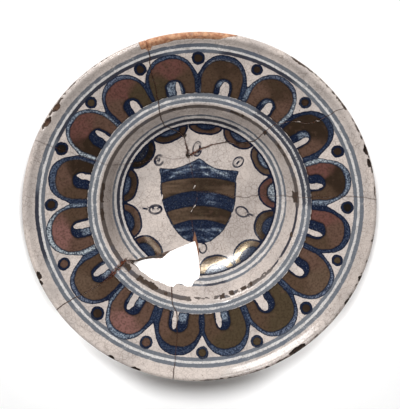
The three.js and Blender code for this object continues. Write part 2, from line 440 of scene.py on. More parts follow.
# Spans of angle where the edge of the rim is rubbed dark, with the radius where that starts.
RUBBED_EDGE = [(3, 60, 123.7), (111, 140, 124), (141, 153, 123.2), (268, 352, 123.6)]


def worn_ridge(points, radius, angle):
    """Distance to the nearest worn patch of the ridge or the rim's edge, negative inside it."""
    nearest = np.full(len(radius), 1e9)
    under_edge = HEIGHT - 1.7 - points[:, 2]
    for start, end, inner in RUBBED_EDGE:
        along = past_span(angle, start, end) * RIM_DEGREE
        nearest = np.minimum(nearest, np.maximum.reduce([along, inner - radius, under_edge]))
    for start, end, inner in WORN_RIDGE:
        along = past_span(angle, start, end) * RIDGE_DEGREE
        patch = np.maximum.reduce([along, inner - radius, radius - SHOULDER[0]])
        nearest = np.minimum(nearest, patch)
    return nearest + 0.9 * form_noise(points, 2.6, 2) + 0.25


# Chips in the rim: (angle, radius, length along the rim, width, depth).
RIM_CHIPS = [
    (14.8, 123.7, 7, 3.6, 1.6), (19.2, 123.9, 8, 3.4, 1.7), (144.5, 123.1, 7.5, 5.6, 1.6),
    (150.4, 122.4, 8.5, 5.6, 1.6), (203.3, 123.3, 6.6, 4.8, 1.4), (205.7, 124.2, 5, 3, 1.3),
    (240, 124.4, 5.4, 3.2, 1.3), (248.8, 124.4, 7, 3.4, 1.4), (292.8, 124.6, 4, 2.6, 1.1),
    (304.6, 123.1, 13.5, 5, 1.8), (327, 124.4, 7.6, 3, 1.5), (336, 124.5, 5, 3, 1.3),
]


# The waves of the surface, as (height, size).
WAVES = [(0.07, 16), (0.012, 5)]
# The turning marks of the underside: their height, and how many radians they run in a millimetre.
TURNING_HEIGHT = 0.07
TURNING_RATE = 2.1
# How deep the surface lies under the turned section, and how much deeper where glaze is lost.
SURFACE_SINK = 0.1
BARE_DEPTH = 0.4
WORN_DEPTH = 0.22
# How much the rim sags at its lowest places, and how much it is flattened round one angle.
RIM_SAG = 0.3
RIM_FLATTENING = 0.7
FLATTENED_ANGLE = 103


# Meshes

def new_object(name, vertices, faces, materials=(), indices=None):
    """An object from vertices in millimetres, shown smooth."""
    mesh = bpy.data.meshes.new(name)
    mesh.from_pydata((np.asarray(vertices) * MILLIMETRE).tolist(), [], faces)
    for material in materials:
        mesh.materials.append(material)
    if indices is not None:
        mesh.polygons.foreach_set("material_index", np.asarray(indices, np.int32))
    mesh.polygons.foreach_set("use_smooth", np.ones(len(faces), bool))
    mesh.update()
    result = bpy.data.objects.new(name, mesh)
    bpy.context.scene.collection.objects.link(result)
    return result


def ring_count(radius, most):
    """How many vertices a ring has, so that cells stay of one size down to the middle."""
    count = most
    while count > 45 and radius < RIM_RADIUS / 2 * count / most:
        count //= 2
    return count


def stitched(first, second):
    """Faces between two rings of vertex numbers. One may have twice as many, or be a single one."""
    if len(first) == 1:
        return [(first[0], second[i - 1], second[i]) for i in range(len(second))]
    if len(second) == 1:
        return [(first[i - 1], second[0], first[i]) for i in range(len(first))]
    if len(first) == len(second):
        return [(first[i - 1], second[i - 1], second[i], first[i]) for i in range(len(first))]
    flip = len(first) < len(second)
    fine, coarse = (second, first) if flip else (first, second)
    faces = []
    for i in range(len(coarse)):
        j = (i + 1) % len(coarse)
        faces.append((coarse[i], fine[2 * i + 1], fine[2 * i]))
        faces.append((coarse[i], coarse[j], fine[(2 * i + 2) % len(fine)], fine[2 * i + 1]))
    return [face[::-1] for face in faces] if flip else faces


def unevenness(points, normals, painted):
    """Moves the turned surface a little, as thrown clay and thick glaze are never true."""
    radius, angle = radius_and_angle(points)
    push = sum(height * form_noise(points, size) for height, size in WAVES) - SURFACE_SINK
    turns = radius * TURNING_RATE + 0.9 * form_noise(points, 30)
    push = push + np.where(painted, 0, TURNING_HEIGHT * np.sin(turns)) * (radius < RIM_RADIUS - 8)
    bare = smoothstep(bare_rim(radius, angle) + 0.5 * form_noise(points, 2.5), 0.2, -0.5)
    worn = smoothstep(worn_ridge(points, radius, angle), 0.3, -0.4)
    push = push - np.where(painted, BARE_DEPTH * bare + WORN_DEPTH * worn, 0)
    push = np.where(points[:, 2] < 0.3, 0, push)
    points = points + normals * push[:, None]
    share = radius / RIM_RADIUS
    points[:, 2] -= RIM_SAG * (0.5 + 0.5 * np.cos(np.radians(2 * angle + 50))) * share ** 4
    flat = RIM_FLATTENING * near_angle(angle, FLATTENED_ANGLE, 45, 8) * share ** 6
    points[:, :2] *= (1 - flat / RIM_RADIUS)[:, None]
    return points


def whole_dish(materials):
    """The dish before it broke, as one closed mesh of rings."""
    section = np.vstack([UPPER[:-1], LOWER])
    vertices, normals, painted, rings = [], [], [], []
    for i, ((radius, height), (out, up)) in enumerate(zip(section, sideways(section))):
        upper = i < len(UPPER) - 1
        count = ring_count(radius, UPPER_SPOKES if upper else LOWER_SPOKES) if radius > 0.2 else 1
        rings.append(range(len(painted), len(painted) + count))
        for turn in np.arange(count) * 2 * math.pi / count:
            ray = (math.cos(turn), math.sin(turn))
            vertices.append((radius * ray[0], radius * ray[1], height))
            normals.append((out * ray[0], out * ray[1], up))
            painted.append(upper)
    points = unevenness(np.array(vertices), np.array(normals), np.array(painted))
    faces, indices = [], []
    for i, (first, second) in enumerate(zip(rings, rings[1:])):
        made = stitched(first, second)
        faces.extend(made)
        indices.extend([PAINTED if i < len(UPPER) - 1 else UNPAINTED] * len(made))
    return outside(new_object("dish", points, faces, materials, indices))


def outside(piece):
    """Turns all faces of a closed mesh outwards."""
    work = bmesh.new()
    work.from_mesh(piece.data)
    bmesh.ops.recalc_face_normals(work, faces=work.faces)
    work.to_mesh(piece.data)
    work.free()
    return piece


# The breaks

STATION_STEP = 0.9
ROW_STEP = 2.0
# How far apart in the noise two breaks lie.
BREAK_SPACING = 100.0
# How far breaks run past the points where they meet, in steps.
OVERLAP = 0.45


def break_spots(name, along, depth):
    """Where to read the noise for places along a break."""
    offset = BREAK_SPACING * list(BREAKS).index(name)
    return np.column_stack([along, np.full(len(along), offset), depth])


def break_line(name):
    """Plan points along a break, jagged as fired clay breaks, and the distance along it."""
    line, along = resampled(rounded_line(placed(BREAKS[name]), passes=1), STATION_STEP)
    jag = 0.5 * break_noise(break_spots(name, along, 0 * along), 5, 3) * clear_of_ends(along)
    return line + sideways(line) * jag[:, None], along


def clear_of_ends(along):
    """0 at the ends of a break, where it has to meet the others, and 1 along the rest of it."""
    return smoothstep(np.minimum(along, along.max() - along), 0.5, 4)


def break_drift(name, along, depth, ends):
    """How far the broken face has wandered sideways at a depth under the glaze."""
    spots = break_spots(name, along, depth)
    reach = np.clip(depth, 0, 60)
    wander = 0.3 * break_noise(spots, 4, 2) * smoothstep(reach, 0, 2)
    return (wander + 0.1 * reach * break_noise(spots[:, :2], 40)) * ends


def gap_width(name, line):
    """Half the width of the gap along a break. The lower left one gapes beside the lost sherd."""
    base = BREAK_LOOK[name][0]
    radius = np.hypot(*line.T)
    width = np.full(len(line), base)
    if name == "seam_lower_left":
        width = width + 0.9 * smoothstep(np.abs(radius - 69.8), 3.2, 0.6)
    if name == "seam_top_right":
        width = width + 0.1 * smoothstep(np.abs(radius - 36), 9, 3)
    return width


def loft(loops):
    """Vertices and faces through closed loops of equal length, open at both ends."""
    count = len(loops[0])
    vertices = np.vstack(loops)
    faces = []
    for row in range(len(loops) - 1):
        for i in range(count):
            j = (i + 1) % count
            low, high = row * count, (row + 1) * count
            faces.append((low + i, low + j, high + j, high + i))
    return vertices, faces


def break_cutter(name):
    """The thin upright ribbon that a break takes out of the dish."""
    line, along = break_line(name)
    side = sideways(line)
    half = gap_width(name, line)
    surface = face_height(np.hypot(*line.T))
    ends = clear_of_ends(along)
    line[0] -= (line[1] - line[0]) * OVERLAP
    line[-1] += (line[-1] - line[-2]) * OVERLAP
    count = len(line)
    loops = []
    for height in np.arange(-2, HEIGHT + 3, ROW_STEP):
        depth = np.maximum(surface - height, 0)
        middle = line + side * break_drift(name, along, depth, ends)[:, None]
        rough = 0.05 * break_noise(np.column_stack([along, depth, along * 0]), 1.7)
        left = middle + side * (half + rough)[:, None]
        right = middle - side * (half - rough * 0.5)[:, None]
        loops.append(at_height(np.vstack([left, right[::-1]]), height))
    vertices, faces = loft(loops)
    last = (len(loops) - 1) * 2 * count
    for i in range(count - 1):
        j = 2 * count - 1 - i
        faces.append((i, j, j - 1, i + 1))
        faces.append((last + i, last + i + 1, last + j - 1, last + j))
    return outside(new_object("cut_" + name, vertices, faces))


def loss_outline():
    """The ragged outline of the lost sherd on the upper face."""
    line = resampled(rounded_line(placed(LOSS_OUTLINE), True, 1), STATION_STEP, True)[0]
    jag = (0.55 - 0.3 * smoothstep(line[:, 1], -58, -52)) * break_noise(line, 3.2, 3)
    return line + sideways(line, True) * jag[:, None]


def loss_cutter():
    """The hole of the lost sherd. Its broken faces slant, so that some of them show from above."""
    outline = loss_outline()
    centre = placed([LOSS_CENTRE])[0]
    surface = face_height(np.hypot(*outline.T))
    outwards = outline - centre
    reach = np.linalg.norm(outwards, axis=1, keepdims=True)
    upper_left = smoothstep((outwards / reach) @ np.array([-0.4, 0.92]), 0.3, 0.8)
    upper_left = upper_left * smoothstep(outline[:, 0], -14, -32)
    inset = -0.03 + 0.38 * upper_left
    slant = -outwards / reach * inset[:, None] + np.array([0, -0.2])
    loops = []
    for height in [HEIGHT + 3, 30, *np.arange(26, -2.5, -0.75)]:
        depth = np.maximum(surface - height, 0)
        rough = 0.34 * break_noise(at_height(outline, height), 2.4, 3) * smoothstep(depth, 0, 1.2)
        moved = outline + slant * depth[:, None] + outwards / reach * rough[:, None]
        loops.append(at_height(moved, height))
    vertices, faces = loft(loops)
    count = len(outline)
    faces.append(tuple(range(count)))
    faces.append(tuple(range(len(vertices) - count, len(vertices)))[::-1])
    return outside(new_object("cut_loss", vertices, faces))


def chip_cutters():
    """Rough lumps that take the chips out of the rim."""
    work = bmesh.new()
    bmesh.ops.create_icosphere(work, subdivisions=4, radius=1)
    ball = np.array([vertex.co for vertex in work.verts])
    faces = [tuple(vertex.index for vertex in face.verts) for face in work.faces]
    work.free()
    cutters = []
    for number, (angle, radius, length, width, depth) in enumerate(RIM_CHIPS):
        rough = 1 + 0.28 * break_noise(ball * 4 + 9 * number, 2.2, 3)
        lump = ball * rough[:, None] * np.array([width / 2, length / 2, depth])
        axes = np.eye(3)
        axes[0, :2], axes[1, :2] = polar(1, angle), polar(1, angle + 90)
        place = [*polar(radius, angle), face_height(radius) + 0.15]
        vertices = place + lump @ axes
        cutters.append(outside(new_object(f"cut_chip_{number}", vertices, faces)))
    return cutters


def cut(dish, cutter, clay):
    """Takes a cutter out of the dish and deletes it. The new faces are fired clay."""
    cutter.data.materials.append(clay)
    change = dish.modifiers.new("cut", "BOOLEAN")
    change.operation = "DIFFERENCE"
    change.solver = "MANIFOLD"
    change.object = cutter
    evaluated = dish.evaluated_get(bpy.context.evaluated_depsgraph_get())
    mesh = bpy.data.meshes.new_from_object(evaluated)
    dish.modifiers.clear()
    dish.data = mesh
    bpy.data.objects.remove(cutter)


# The outermost stretch of a sherd, which tells where it reaches the rim. Pieces with fewer
# vertices there are crumbs.
RIM_BAND = 12
CRUMB = 100


def separate_sherds(dish):
    """The loose pieces of the cut dish, named by where each one reaches the rim."""
    for other in bpy.context.scene.objects:
        other.select_set(False)
    dish.select_set(True)
    bpy.context.view_layer.objects.active = dish
    bpy.ops.mesh.separate(type="LOOSE")
    found = {}
    for piece in [o for o in bpy.context.scene.objects if o.name.startswith("dish")]:
        points = coordinates(piece)
        rim = points[np.hypot(points[:, 0], points[:, 1]) > RIM_RADIUS - RIM_BAND]
        if len(rim) < CRUMB:
            bpy.data.objects.remove(piece)
            continue
        angles = radius_and_angle(rim)[1]
        for name, (start, end) in SHERDS.items():
            if np.mean(past_span(angles, start, end) < 0) > 0.9:
                piece.name = name + "_painted"
                found[name] = piece
    return found


def coordinates(piece):
    """The vertices of a mesh in millimetres."""
    flat = np.zeros(len(piece.data.vertices) * 3, np.float32)
    piece.data.vertices.foreach_get("co", flat)
    return flat.reshape(-1, 3).astype(float) / MILLIMETRE


# Painting. Each shape is a distance in millimetres, negative inside it.

def from_255(red, green, blue):
    """A colour as seen, from 0 to 255, as the linear values that a shader takes."""
    seen = np.array([red, green, blue]) / 255
    return np.where(seen <= 0.04045, seen / 12.92, ((seen + 0.055) / 1.055) ** 2.4)


COBALT = {
    "navy": from_255(18, 25, 43), "blue": from_255(36, 44, 62), "mid": from_255(60, 69, 87),
    "steel": from_255(80, 87, 104), "grey": from_255(98, 107, 121), "pale": from_255(138, 145, 153),
    "white": from_255(180, 178, 180), "soot": from_255(30, 29, 32),
}
LUSTRE = {
    "black": from_255(32, 28, 24), "dark": from_255(53, 41, 32), "umber": from_255(70, 54, 43),
    "olive": from_255(76, 64, 48), "brown": from_255(86, 67, 54), "ochre": from_255(99, 80, 66),
    "russet": from_255(100, 76, 65), "red": from_255(108, 72, 66), "pink": from_255(133, 95, 89),
}

# The petals of the brim. Each row: the angles of the brown leaf's two sides, the radius of its top,
# the radius of the blue band's top, the angles of the notch's two sides and of the white in it,
# the radius of the notch's top, then the blues at the side of smaller angle, top and other side,
# the browns in the same order, the width of the white line between brown and blue, and the part
# of the notch that is deep blue.
PETALS = [
    (2.2, 19.2, 104.5, 108.8, 7, 14, 7.8, 10, 89.9,
     "grey grey pale", "brown dark red", 0.0, "all"),
    (24.3, 42.4, 105.5, 110.3, 30, 36.3, 30.6, 32.6, 92.1,
     "blue blue navy", "russet dark dark", 0.0, "base"),
    (46.3, 65.6, 105.2, 108.8, 52.2, 59.3, 53.2, 56.6, 89.9,
     "pale steel grey", "russet umber russet", 0.0, "base"),
    (70.4, 89, 104.5, 108.8, 74.8, 82.2, 75.9, 79.6, 90.6,
     "blue blue navy", "brown umber brown", 0.4, "base"),
    (92.2, 112.7, 106.3, 109.6, 97.8, 105.9, 99.3, 101.1, 90,
     "blue mid blue", "brown red olive", 0.0, "none"),
    (114.9, 133.5, 105.3, 109.2, 120.4, 127.8, 121.5, 124.4, 89.8,
     "blue steel blue", "olive red russet", 0.0, "all"),
    (136.6, 155.2, 106.5, 110, 142.2, 149.6, 143.3, 145.2, 91.6,
     "grey grey pale", "russet red dark", 0.3, "all"),
    (159.2, 177.4, 103, 108.4, 164.8, 171.9, 165.3, 167.4, 90.6,
     "blue mid blue", "dark russet brown", 0.2, "all"),
    (181.6, 201.3, 105.8, 110, 188.1, 195.6, 188.9, 191.5, 92,
     "grey pale pale", "brown pink russet", 0.0, "top"),
    (206.5, 225.3, 104.9, 108.7, 211.5, 218.9, 213, 215.6, 91.7,
     "mid steel navy", "brown ochre brown", 0.0, "top"),
    (228.5, 246.6, 106.3, 110.8, 233.3, 241, 234.6, 237, 92.2,
     "grey grey blue", "russet pink russet", 0.0, "top"),
    (251.4, 269.8, 102.4, 108.6, 255.9, 264, 257.4, 259.4, 92.5,
     "blue blue navy", "russet brown brown", 0.0, "top"),
    (272.6, 291.1, 104.4, 109.9, 278.1, 284.4, 278.5, 280.4, 91.2,
     "blue mid blue", "brown olive olive", 0.0, "top"),
    (294.4, 314.6, 105.8, 110, 299.6, 307.4, 300.4, 304, 91.2,
     "mid steel blue", "brown olive olive", 0.0, "all"),
    (317.6, 336.8, 106.4, 110, 323.3, 331.1, 324, 327.4, 91,
     "mid steel blue", "brown ochre russet", 0.0, "all"),
    (339.6, 356.9, 104.3, 108.8, 343.7, 351.1, 344.8, 346.7, 91,
     "blue blue navy", "brown russet red", 0.0, "all"),
]
PETAL_FOOT = 79.2
PETAL_WAIST = 89.5
# No petal reaches past this radius.
PETAL_LIMIT = 112.5
# How far the notch and the white in it rise above their own waists.
NOTCH_RISE = 5.5
WHITE_RISE = 4.9
# Below this radius the blue bands of neighbouring petals have run together.
BANDS_JOIN = 90.5
# The deep blue part of a notch, by the radii where it starts and is full.
DEEP_PARTS = {"all": (70, 75), "top": (83.5, 86.5), "base": (86.5, 83), "none": (120, 125)}

# The dots between the petals: (angle, radius, radius of the dot, its ring, its middle).
DOTS = [
    (21.7, 104.8, 4.6, "navy", "dark"), (44.6, 104.4, 4.4, "mid", "dark"),
    (67.3, 104.9, 4.1, "blue", "dark"), (90.4, 104.9, 4.8, "navy", "dark"),
    (113.2, 105.4, 4.6, "navy", "dark"), (136, 105.5, 4.4, "blue", "olive"),
    (157.2, 105, 4.9, "navy", "black"), (179.7, 104.4, 4.7, "mid", "dark"),
    (203.6, 104.3, 4.6, "blue", "russet"), (226.9, 105.6, 5.0, "navy", "dark"),
    (249, 105.1, 4.7, "mid", "russet"), (271.2, 105.6, 4.5, "mid", "olive"),
    (292.8, 105.6, 4.4, "mid", "olive"), (315.8, 105.3, 4.6, "blue", "dark"),
    (338.1, 105, 4.1, "blue", "olive"), (359.2, 104.4, 4.6, "blue", "black"),
]
DOT_RING = 1.8

# The scallops round the well. Each row: the angle of the cusp where it starts, the smallest radius
# that it reaches, the tone of its blue heart and the tone of its brown band.
SCALLOPS = [
    (18.5, 45.6, "grey", "ochre"), (45, 45.2, "mid", "russet"), (71.5, 46.5, "blue", "russet"),
    (98.5, 45.4, "mid", "umber"), (127.5, 44.4, "soot", "black"), (155, 44.2, "mid", "umber"),
    (182.5, 43.2, "blue", "russet"), (211, 42.2, "blue", "russet"), (239, 43, "mid", "olive"),
    (268, 41.2, "grey", "ochre"), (298, 42.8, "blue", "ochre"), (325.5, 42.4, "blue", "umber"),
    (352.5, 42.0, "pale", "red"),
]
SCALLOP_RIM = 54.9
SCALLOP_OUTLINE = 1.4

# The first ring of the collar. It is worn to dashes round one angle and thin round another.
COLLAR_RING = 69.2
DASHED_ANGLE = 294
THIN_ANGLE = 338
# The painted rings: radius, half width, strength, tone, and the spans of angle where it is navy.
RINGS = [
    (57.6, 0.9, 1.0, "slate", [(60, 200)]),
    (61.2, 0.6, 0.85, "slate", [(273, 289)]),
    (COLLAR_RING, 1.2, 1.0, "soot", [(318, 358)]),
    (73.9, 0.95, 0.95, "slate", [(-2, 60)]),
    (77.9, 1.0, 1.0, "slate", [(-2, 60)]),
    (110.2, 1.1, 1.0, "slate", [(52, 83), (102, 155)]),
    (114.5, 1.2, 0.9, "slate", [(174, 200)]),
]
RING_TONES = {"slate": from_255(85, 90, 98), "soot": from_255(76, 68, 64)}
# Where blue has run into the glaze: (radius, how far off it ends, how far off it is full, strength).
BLEEDS = [(112.8, 3.4, 2, 1), (75.6, 4, 2.5, 1), (58.3, 4, 2.5, 0.6)]
# Between the two rings of the collar the blue has run most.
FLOODED_RADIUS = 75.8
# No painting is this far away, in millimetres.
NOWHERE = 9.0


def mixed(first, second, share):
    """Colours between two, one for each share."""
    share = np.asarray(share)[..., None]
    return first * (1 - share) + second * share


def dome(across, along, half, rise, power):
    """Distance to a dome that rises from a straight-sided body. along is measured from its waist."""
    sides, top = np.abs(across / half), np.abs(np.maximum(along, 0) / rise)
    ratio = (sides ** power + top ** power) ** (1 / power)
    length = np.hypot(across, np.maximum(along, 0))
    above = length * (1 - 1 / np.maximum(ratio, 1e-6))
    return np.where(along > 0, above, np.abs(across) - half)


def three_tones(table, names, across, along):
    """A colour that goes from one side over the top to the other side of an arch."""
    first, top, last = (table[name] for name in names.split())
    angle = np.degrees(np.arctan2(np.maximum(along, -4), across))
    upper = smoothstep(np.abs(angle - 90), 75, 25)
    side = smoothstep(across, -3, 3)
    return mixed(mixed(first, last, side), top, upper)


def blue_tone(share):
    """Cobalt from navy at 0 to pale at 1."""
    places = [0, 0.3, 0.5, 0.75, 1]
    colours = np.array([COBALT[name] for name in ("navy", "blue", "mid", "grey", "pale")])
    return np.column_stack([np.interp(share, places, colours[:, k]) for k in range(3)])


def lay(layers, kind, where, distance, ink):
    """Lays a painted shape over what a layer has, wherever the shape is nearer."""
    kept, inks = layers[kind], layers[kind + "_ink"]
    closer = (distance < kept[where])[:, None]
    inks[where] = np.where(closer, ink, inks[where])
    kept[where] = np.minimum(kept[where], distance)


def across_from(first, last, angle, radius):
    """Millimetres that angles lie past the middle between two angles, at a radius."""
    return np.radians(turn_between(angle, (first + last) / 2)) * radius


def half_arc(first, last, radius):
    """Half the millimetres between two angles at a radius."""
    return np.radians((last - first) / 2) * radius


def petal_domain(number, angle):
    """Whether each angle is nearer to this petal than to its neighbours, and degrees to the limit."""
    row = PETALS[number]
    before, after = PETALS[number - 1], PETALS[(number + 1) % len(PETALS)]
    centre = (row[0] + row[1]) / 2
    low = turn_between(before[1], centre) / 2 + (row[0] - centre) / 2
    high = turn_between(after[0], centre) / 2 + (row[1] - centre) / 2
    turned = turn_between(angle, centre)
    return (turned >= low) & (turned < high), np.minimum(turned - low, high - turned)


def petal_shapes(form, radius, turned, spots):
    """Distances to a petal's brown leaf, its blue band, its notch and the white in the notch."""
    side_1, side_2, leaf_top, band_top, notch_1, notch_2, white_1, white_2, notch_top = form
    across, along = across_from(side_1, side_2, turned, radius), radius - PETAL_WAIST
    half = half_arc(side_1, side_2, np.minimum(radius, PETAL_WAIST))
    wider = 2.6 + 1.5 * smoothstep(radius, 98, 88)
    wobble = 0.45 * paint_noise(spots, 7) + 0.2 * paint_noise(spots, 2.5)
    leaf = dome(across, along, half, leaf_top - PETAL_WAIST, 2.4) + wobble
    band = dome(across, along, half + wider, band_top - PETAL_WAIST, 2.3) + wobble * 0.6
    joined = radius - BANDS_JOIN + 0.7 * paint_noise(spots + 20, 4)
    waist = notch_top - NOTCH_RISE
    notch_across = across_from(notch_1, notch_2, turned, radius)
    notch = dome(notch_across, radius - waist, half_arc(notch_1, notch_2, waist), NOTCH_RISE, 2.1)
    notch = notch + 0.35 * paint_noise(spots, 3)
    white_across = across_from(white_1, white_2, turned, radius)
    white_half = half_arc(white_1, white_2, waist) + 0.3
    white = dome(white_across, radius - waist + 1, white_half, WHITE_RISE, 2.0)
    white = white + 0.45 * paint_noise(spots + 40, 2.5)
    return leaf, np.minimum(band, joined), notch, white


def band_blue(blues, gap, across, along, leaf, to_next, spots):
    """The blue band of a petal: navy where it meets the next one, and pale beside the leaf."""
    ink = three_tones(COBALT, blues, across, along)
    ink = mixed(ink, COBALT["navy"], 0.6 * smoothstep(to_next, 1.0, 0.2))
    pale_edge = smoothstep(leaf, 0.5 + 1.6 * gap, 0.1) * (gap > 0)
    return mixed(ink, COBALT["white"], pale_edge * smoothstep(paint_noise(spots, 8), -0.5, 0.3))


def notch_blue(deep_part, notch, radius, spots):
    """The blue in the notch of a petal, outlined in navy."""
    deep = smoothstep(radius + 0.8 * paint_noise(spots, 3), *DEEP_PARTS[deep_part])
    outline = smoothstep(np.abs(notch + 0.1), 1.0, 0.5)
    return mixed(mixed(COBALT["grey"], COBALT["navy"], deep), COBALT["navy"], outline)


def paint_petals(points, layers):
    """The sixteen arched petals round the brim."""
    on_brim = (layers["radius"] > PETAL_FOOT - 1.5) & (layers["radius"] < PETAL_LIMIT)
    for number, (*form, blues, browns, gap, deep_part) in enumerate(PETALS):
        mine, to_limit = petal_domain(number, layers["angle"])
        index = np.flatnonzero(mine & on_brim)
        radius, turned, spots = layers["radius"][index], layers["angle"][index], points[index]
        leaf, band, notch, white = petal_shapes(form, radius, turned, spots)
        across, along = across_from(*form[:2], turned, radius), radius - PETAL_WAIST
        foot = PETAL_FOOT + 0.25 * paint_noise(spots + 60, 2) - radius
        around = np.maximum.reduce([band, -leaf, foot])
        inside = np.maximum.reduce([notch - 0.6, -white, foot - 0.2])
        to_next = np.radians(to_limit[index]) * radius
        outer_ink = band_blue(blues, gap, across, along, leaf, to_next, spots)
        inner_ink = notch_blue(deep_part, notch, radius, spots)
        brown = three_tones(LUSTRE, browns, across + 2.5 * tone_noise(spots, 9), along)
        darker = 0.7 * smoothstep(notch, 2.2, 0.5)
        layers["cobalt"][index] = np.minimum(around, inside)
        layers["cobalt_ink"][index] = mixed(outer_ink, inner_ink, smoothstep(leaf, 0.5, -0.5))
        layers["lustre"][index] = np.maximum.reduce([leaf - 0.5, -notch, foot])
        layers["lustre_ink"][index] = mixed(brown, LUSTRE["black"], darker)


def paint_dots(points, layers):
    """The dots in the corners between the petals."""
    for angle, radius, size, ring, middle in DOTS:
        away = points[:, :2] - polar(radius, angle)
        distance = np.hypot(*away.T) - size + 0.3 * paint_noise(points, 3, 2)
        near = distance < 2
        core = distance[near] + DOT_RING
        upper = smoothstep(layers["radius"][near], radius - 2, radius + 4)
        ink = mixed(COBALT[ring], COBALT["navy"], 0.6 * upper)
        lay(layers, "cobalt", near, np.maximum(distance[near], -core), ink)
        lay(layers, "lustre", near, core - 0.4, LUSTRE[middle])


def paint_scallops(points, layers):
    """The scallops that hang inwards from the circle round the well."""
    radius, angle = layers["radius"], layers["angle"]
    in_well = (radius < SCALLOP_RIM + 1.5) & (radius > 38)
    for number, (start, inner, blue, brown) in enumerate(SCALLOPS):
        span = (SCALLOPS[(number + 1) % len(SCALLOPS)][0] - start) % 360
        share = (angle - start) % 360 / span
        index = np.flatnonzero((share <= 1) & in_well)
        inwards, spots = SCALLOP_RIM - radius[index], points[index]
        half = math.radians(span / 2) * SCALLOP_RIM
        across = (share[index] * 2 - 1) * half
        depth = SCALLOP_RIM - inner
        shape = dome(across, inwards, half, depth, 2.3)
        shape = np.maximum(shape + 0.3 * paint_noise(spots, 4), -inwards)
        heart = dome(across, inwards, half * 0.6, depth * 0.52, 2.1)
        heart = np.maximum(heart + 0.5 * paint_noise(spots + 30, 4), shape + 0.5)
        outline = np.maximum(shape, -(shape + SCALLOP_OUTLINE))
        ink = mixed(COBALT["navy"], COBALT[blue], smoothstep(heart, -0.4, -1.4))
        darkness = 0.3 + 0.5 * smoothstep(heart, 1.4, 0.3) + 0.25 * tone_noise(spots, 3)
        tone = mixed(LUSTRE[brown], LUSTRE["black"], np.clip(darkness, 0, 1))
        lay(layers, "cobalt", index, np.minimum(heart, outline), ink)
        lay(layers, "lustre", index, shape, tone)


SHIELD_OUTLINE = [
    (0, 30.2), (-3.5, 27.9), (-8, 25.6), (-15.5, 22.7), (-22, 22), (-28, 22.8), (-28.4, 20.5),
    (-27.3, 14.6), (-28.3, 10), (-27, 0), (-23.8, -10), (-19.2, -19.6), (-13.8, -26.5),
    (-9.2, -29.6), (-4, -31.6), (1, -32), (5.5, -31.2), (9.2, -29.6), (17, -23), (21.5, -15.8),
    (24.6, -7.7), (25.8, 0), (26.5, 10), (26.2, 14.6), (28.2, 18.8), (28, 20.8), (23, 21.1),
    (14, 21.4), (7, 24.7), (3, 27.7),
]
# The lower edges of the shield's bars: height at the middle, and how much they bow.
SHIELD_BARS = [(15.5, 0.0055), (6.2, 0.0095), (-4.8, 0.009), (-14.6, 0.0115)]
# Flakes and scratches where the painting has gone: (x, y, length, width, turn).
FLAKES = [
    (-3.5, 9, 3.0, 0.8, 60), (-26.4, 1.5, 4.2, 0.7, 80), (-3.6, -5.2, 4.0, 0.6, 50),
    (-5.6, -8.6, 3.2, 0.5, 65), (83.5, 60.3, 3.6, 0.7, 174), (69.6, 59.2, 4.8, 0.7, 178),
]


def bar_edge(x, bar):
    """Height of a bar's lower edge across the shield."""
    middle, bow = SHIELD_BARS[bar]
    return middle - bow * x * x


def shield_blue(x, y, shield):
    """The blue of the shield: streaks of the brush, darker at the top, in a stripe and by the edge."""
    streaks = tone_noise(np.column_stack([x * 0.45, y * 1.7 + 0.015 * x * x, 0 * x]), 2.2, 3)
    above = y - bar_edge(x, 0)
    corner = smoothstep(np.abs(x), 17, 26) + smoothstep(above, 2.6, 0.6)
    middle_streak = smoothstep(np.abs(x + 0.5 + 0.2 * (y - 20)), 3, 0.8)
    chief = 0.4 + 0.62 * streaks - 0.5 * np.clip(corner + 0.8 * middle_streak, 0, 1)
    right = smoothstep(x, -2, 8) * smoothstep(np.abs(x - 8), 13, 7)
    tone = np.where(above > 0, chief, right * (0.1 + 0.5 * streaks))
    stripe = smoothstep(np.abs(y + 21.4 + 0.004 * x * x), 1.3, 0.4)
    tip = smoothstep(y, -19.5, -21) * (0.2 + 0.55 * streaks) + 0.3 * stripe
    tone = np.where(y < bar_edge(x, 3), tip, tone)
    tone = np.where(shield > -1.3, 0.35 + 0.5 * streaks, tone)
    return blue_tone(np.clip(tone, 0, 1))


def paint_shield(points, layers):
    """The shield in the well, with its plain bars."""
    index = np.flatnonzero(layers["radius"] < 44)
    spots = points[index]
    x, y = spots[:, 0], spots[:, 1]
    shield = line_distance(spots[:, :2], rounded_line(SHIELD_OUTLINE, True, 2), True)
    shield = shield + 0.25 * paint_noise(spots, 5)
    wave = 0.3 * paint_noise(spots, 7)
    bars = []
    for upper, lower in ((0, 1), (2, 3)):
        bars.append(np.maximum(y - bar_edge(x, upper), bar_edge(x, lower) - y) + wave)
    brown = np.maximum(np.minimum(*bars), shield + 1.0)
    golden = 0.42 + 0.8 * tone_noise(np.column_stack([x * 0.25, y * 1.4, 0 * x]), 4, 3)
    golden = golden + 0.35 * smoothstep(x, 4, -18) - 0.25 * smoothstep(x, 4, 16)
    tan = mixed(LUSTRE["dark"], LUSTRE["ochre"], np.clip(golden, 0, 1))
    lay(layers, "cobalt", index, np.maximum(shield, -brown), shield_blue(x, y, shield))
    lay(layers, "lustre", index, brown - 0.5, tan)


def paint_flakes(points, layers):
    """Takes the painting off where it has flaked."""
    for flake in FLAKES:
        chip = ellipse_distance(points[:, :2], *flake) + 0.2 * paint_noise(points, 1.5)
        layers["cobalt"] = np.maximum(layers["cobalt"], -chip)
        layers["lustre"] = np.maximum(layers["lustre"], -chip)


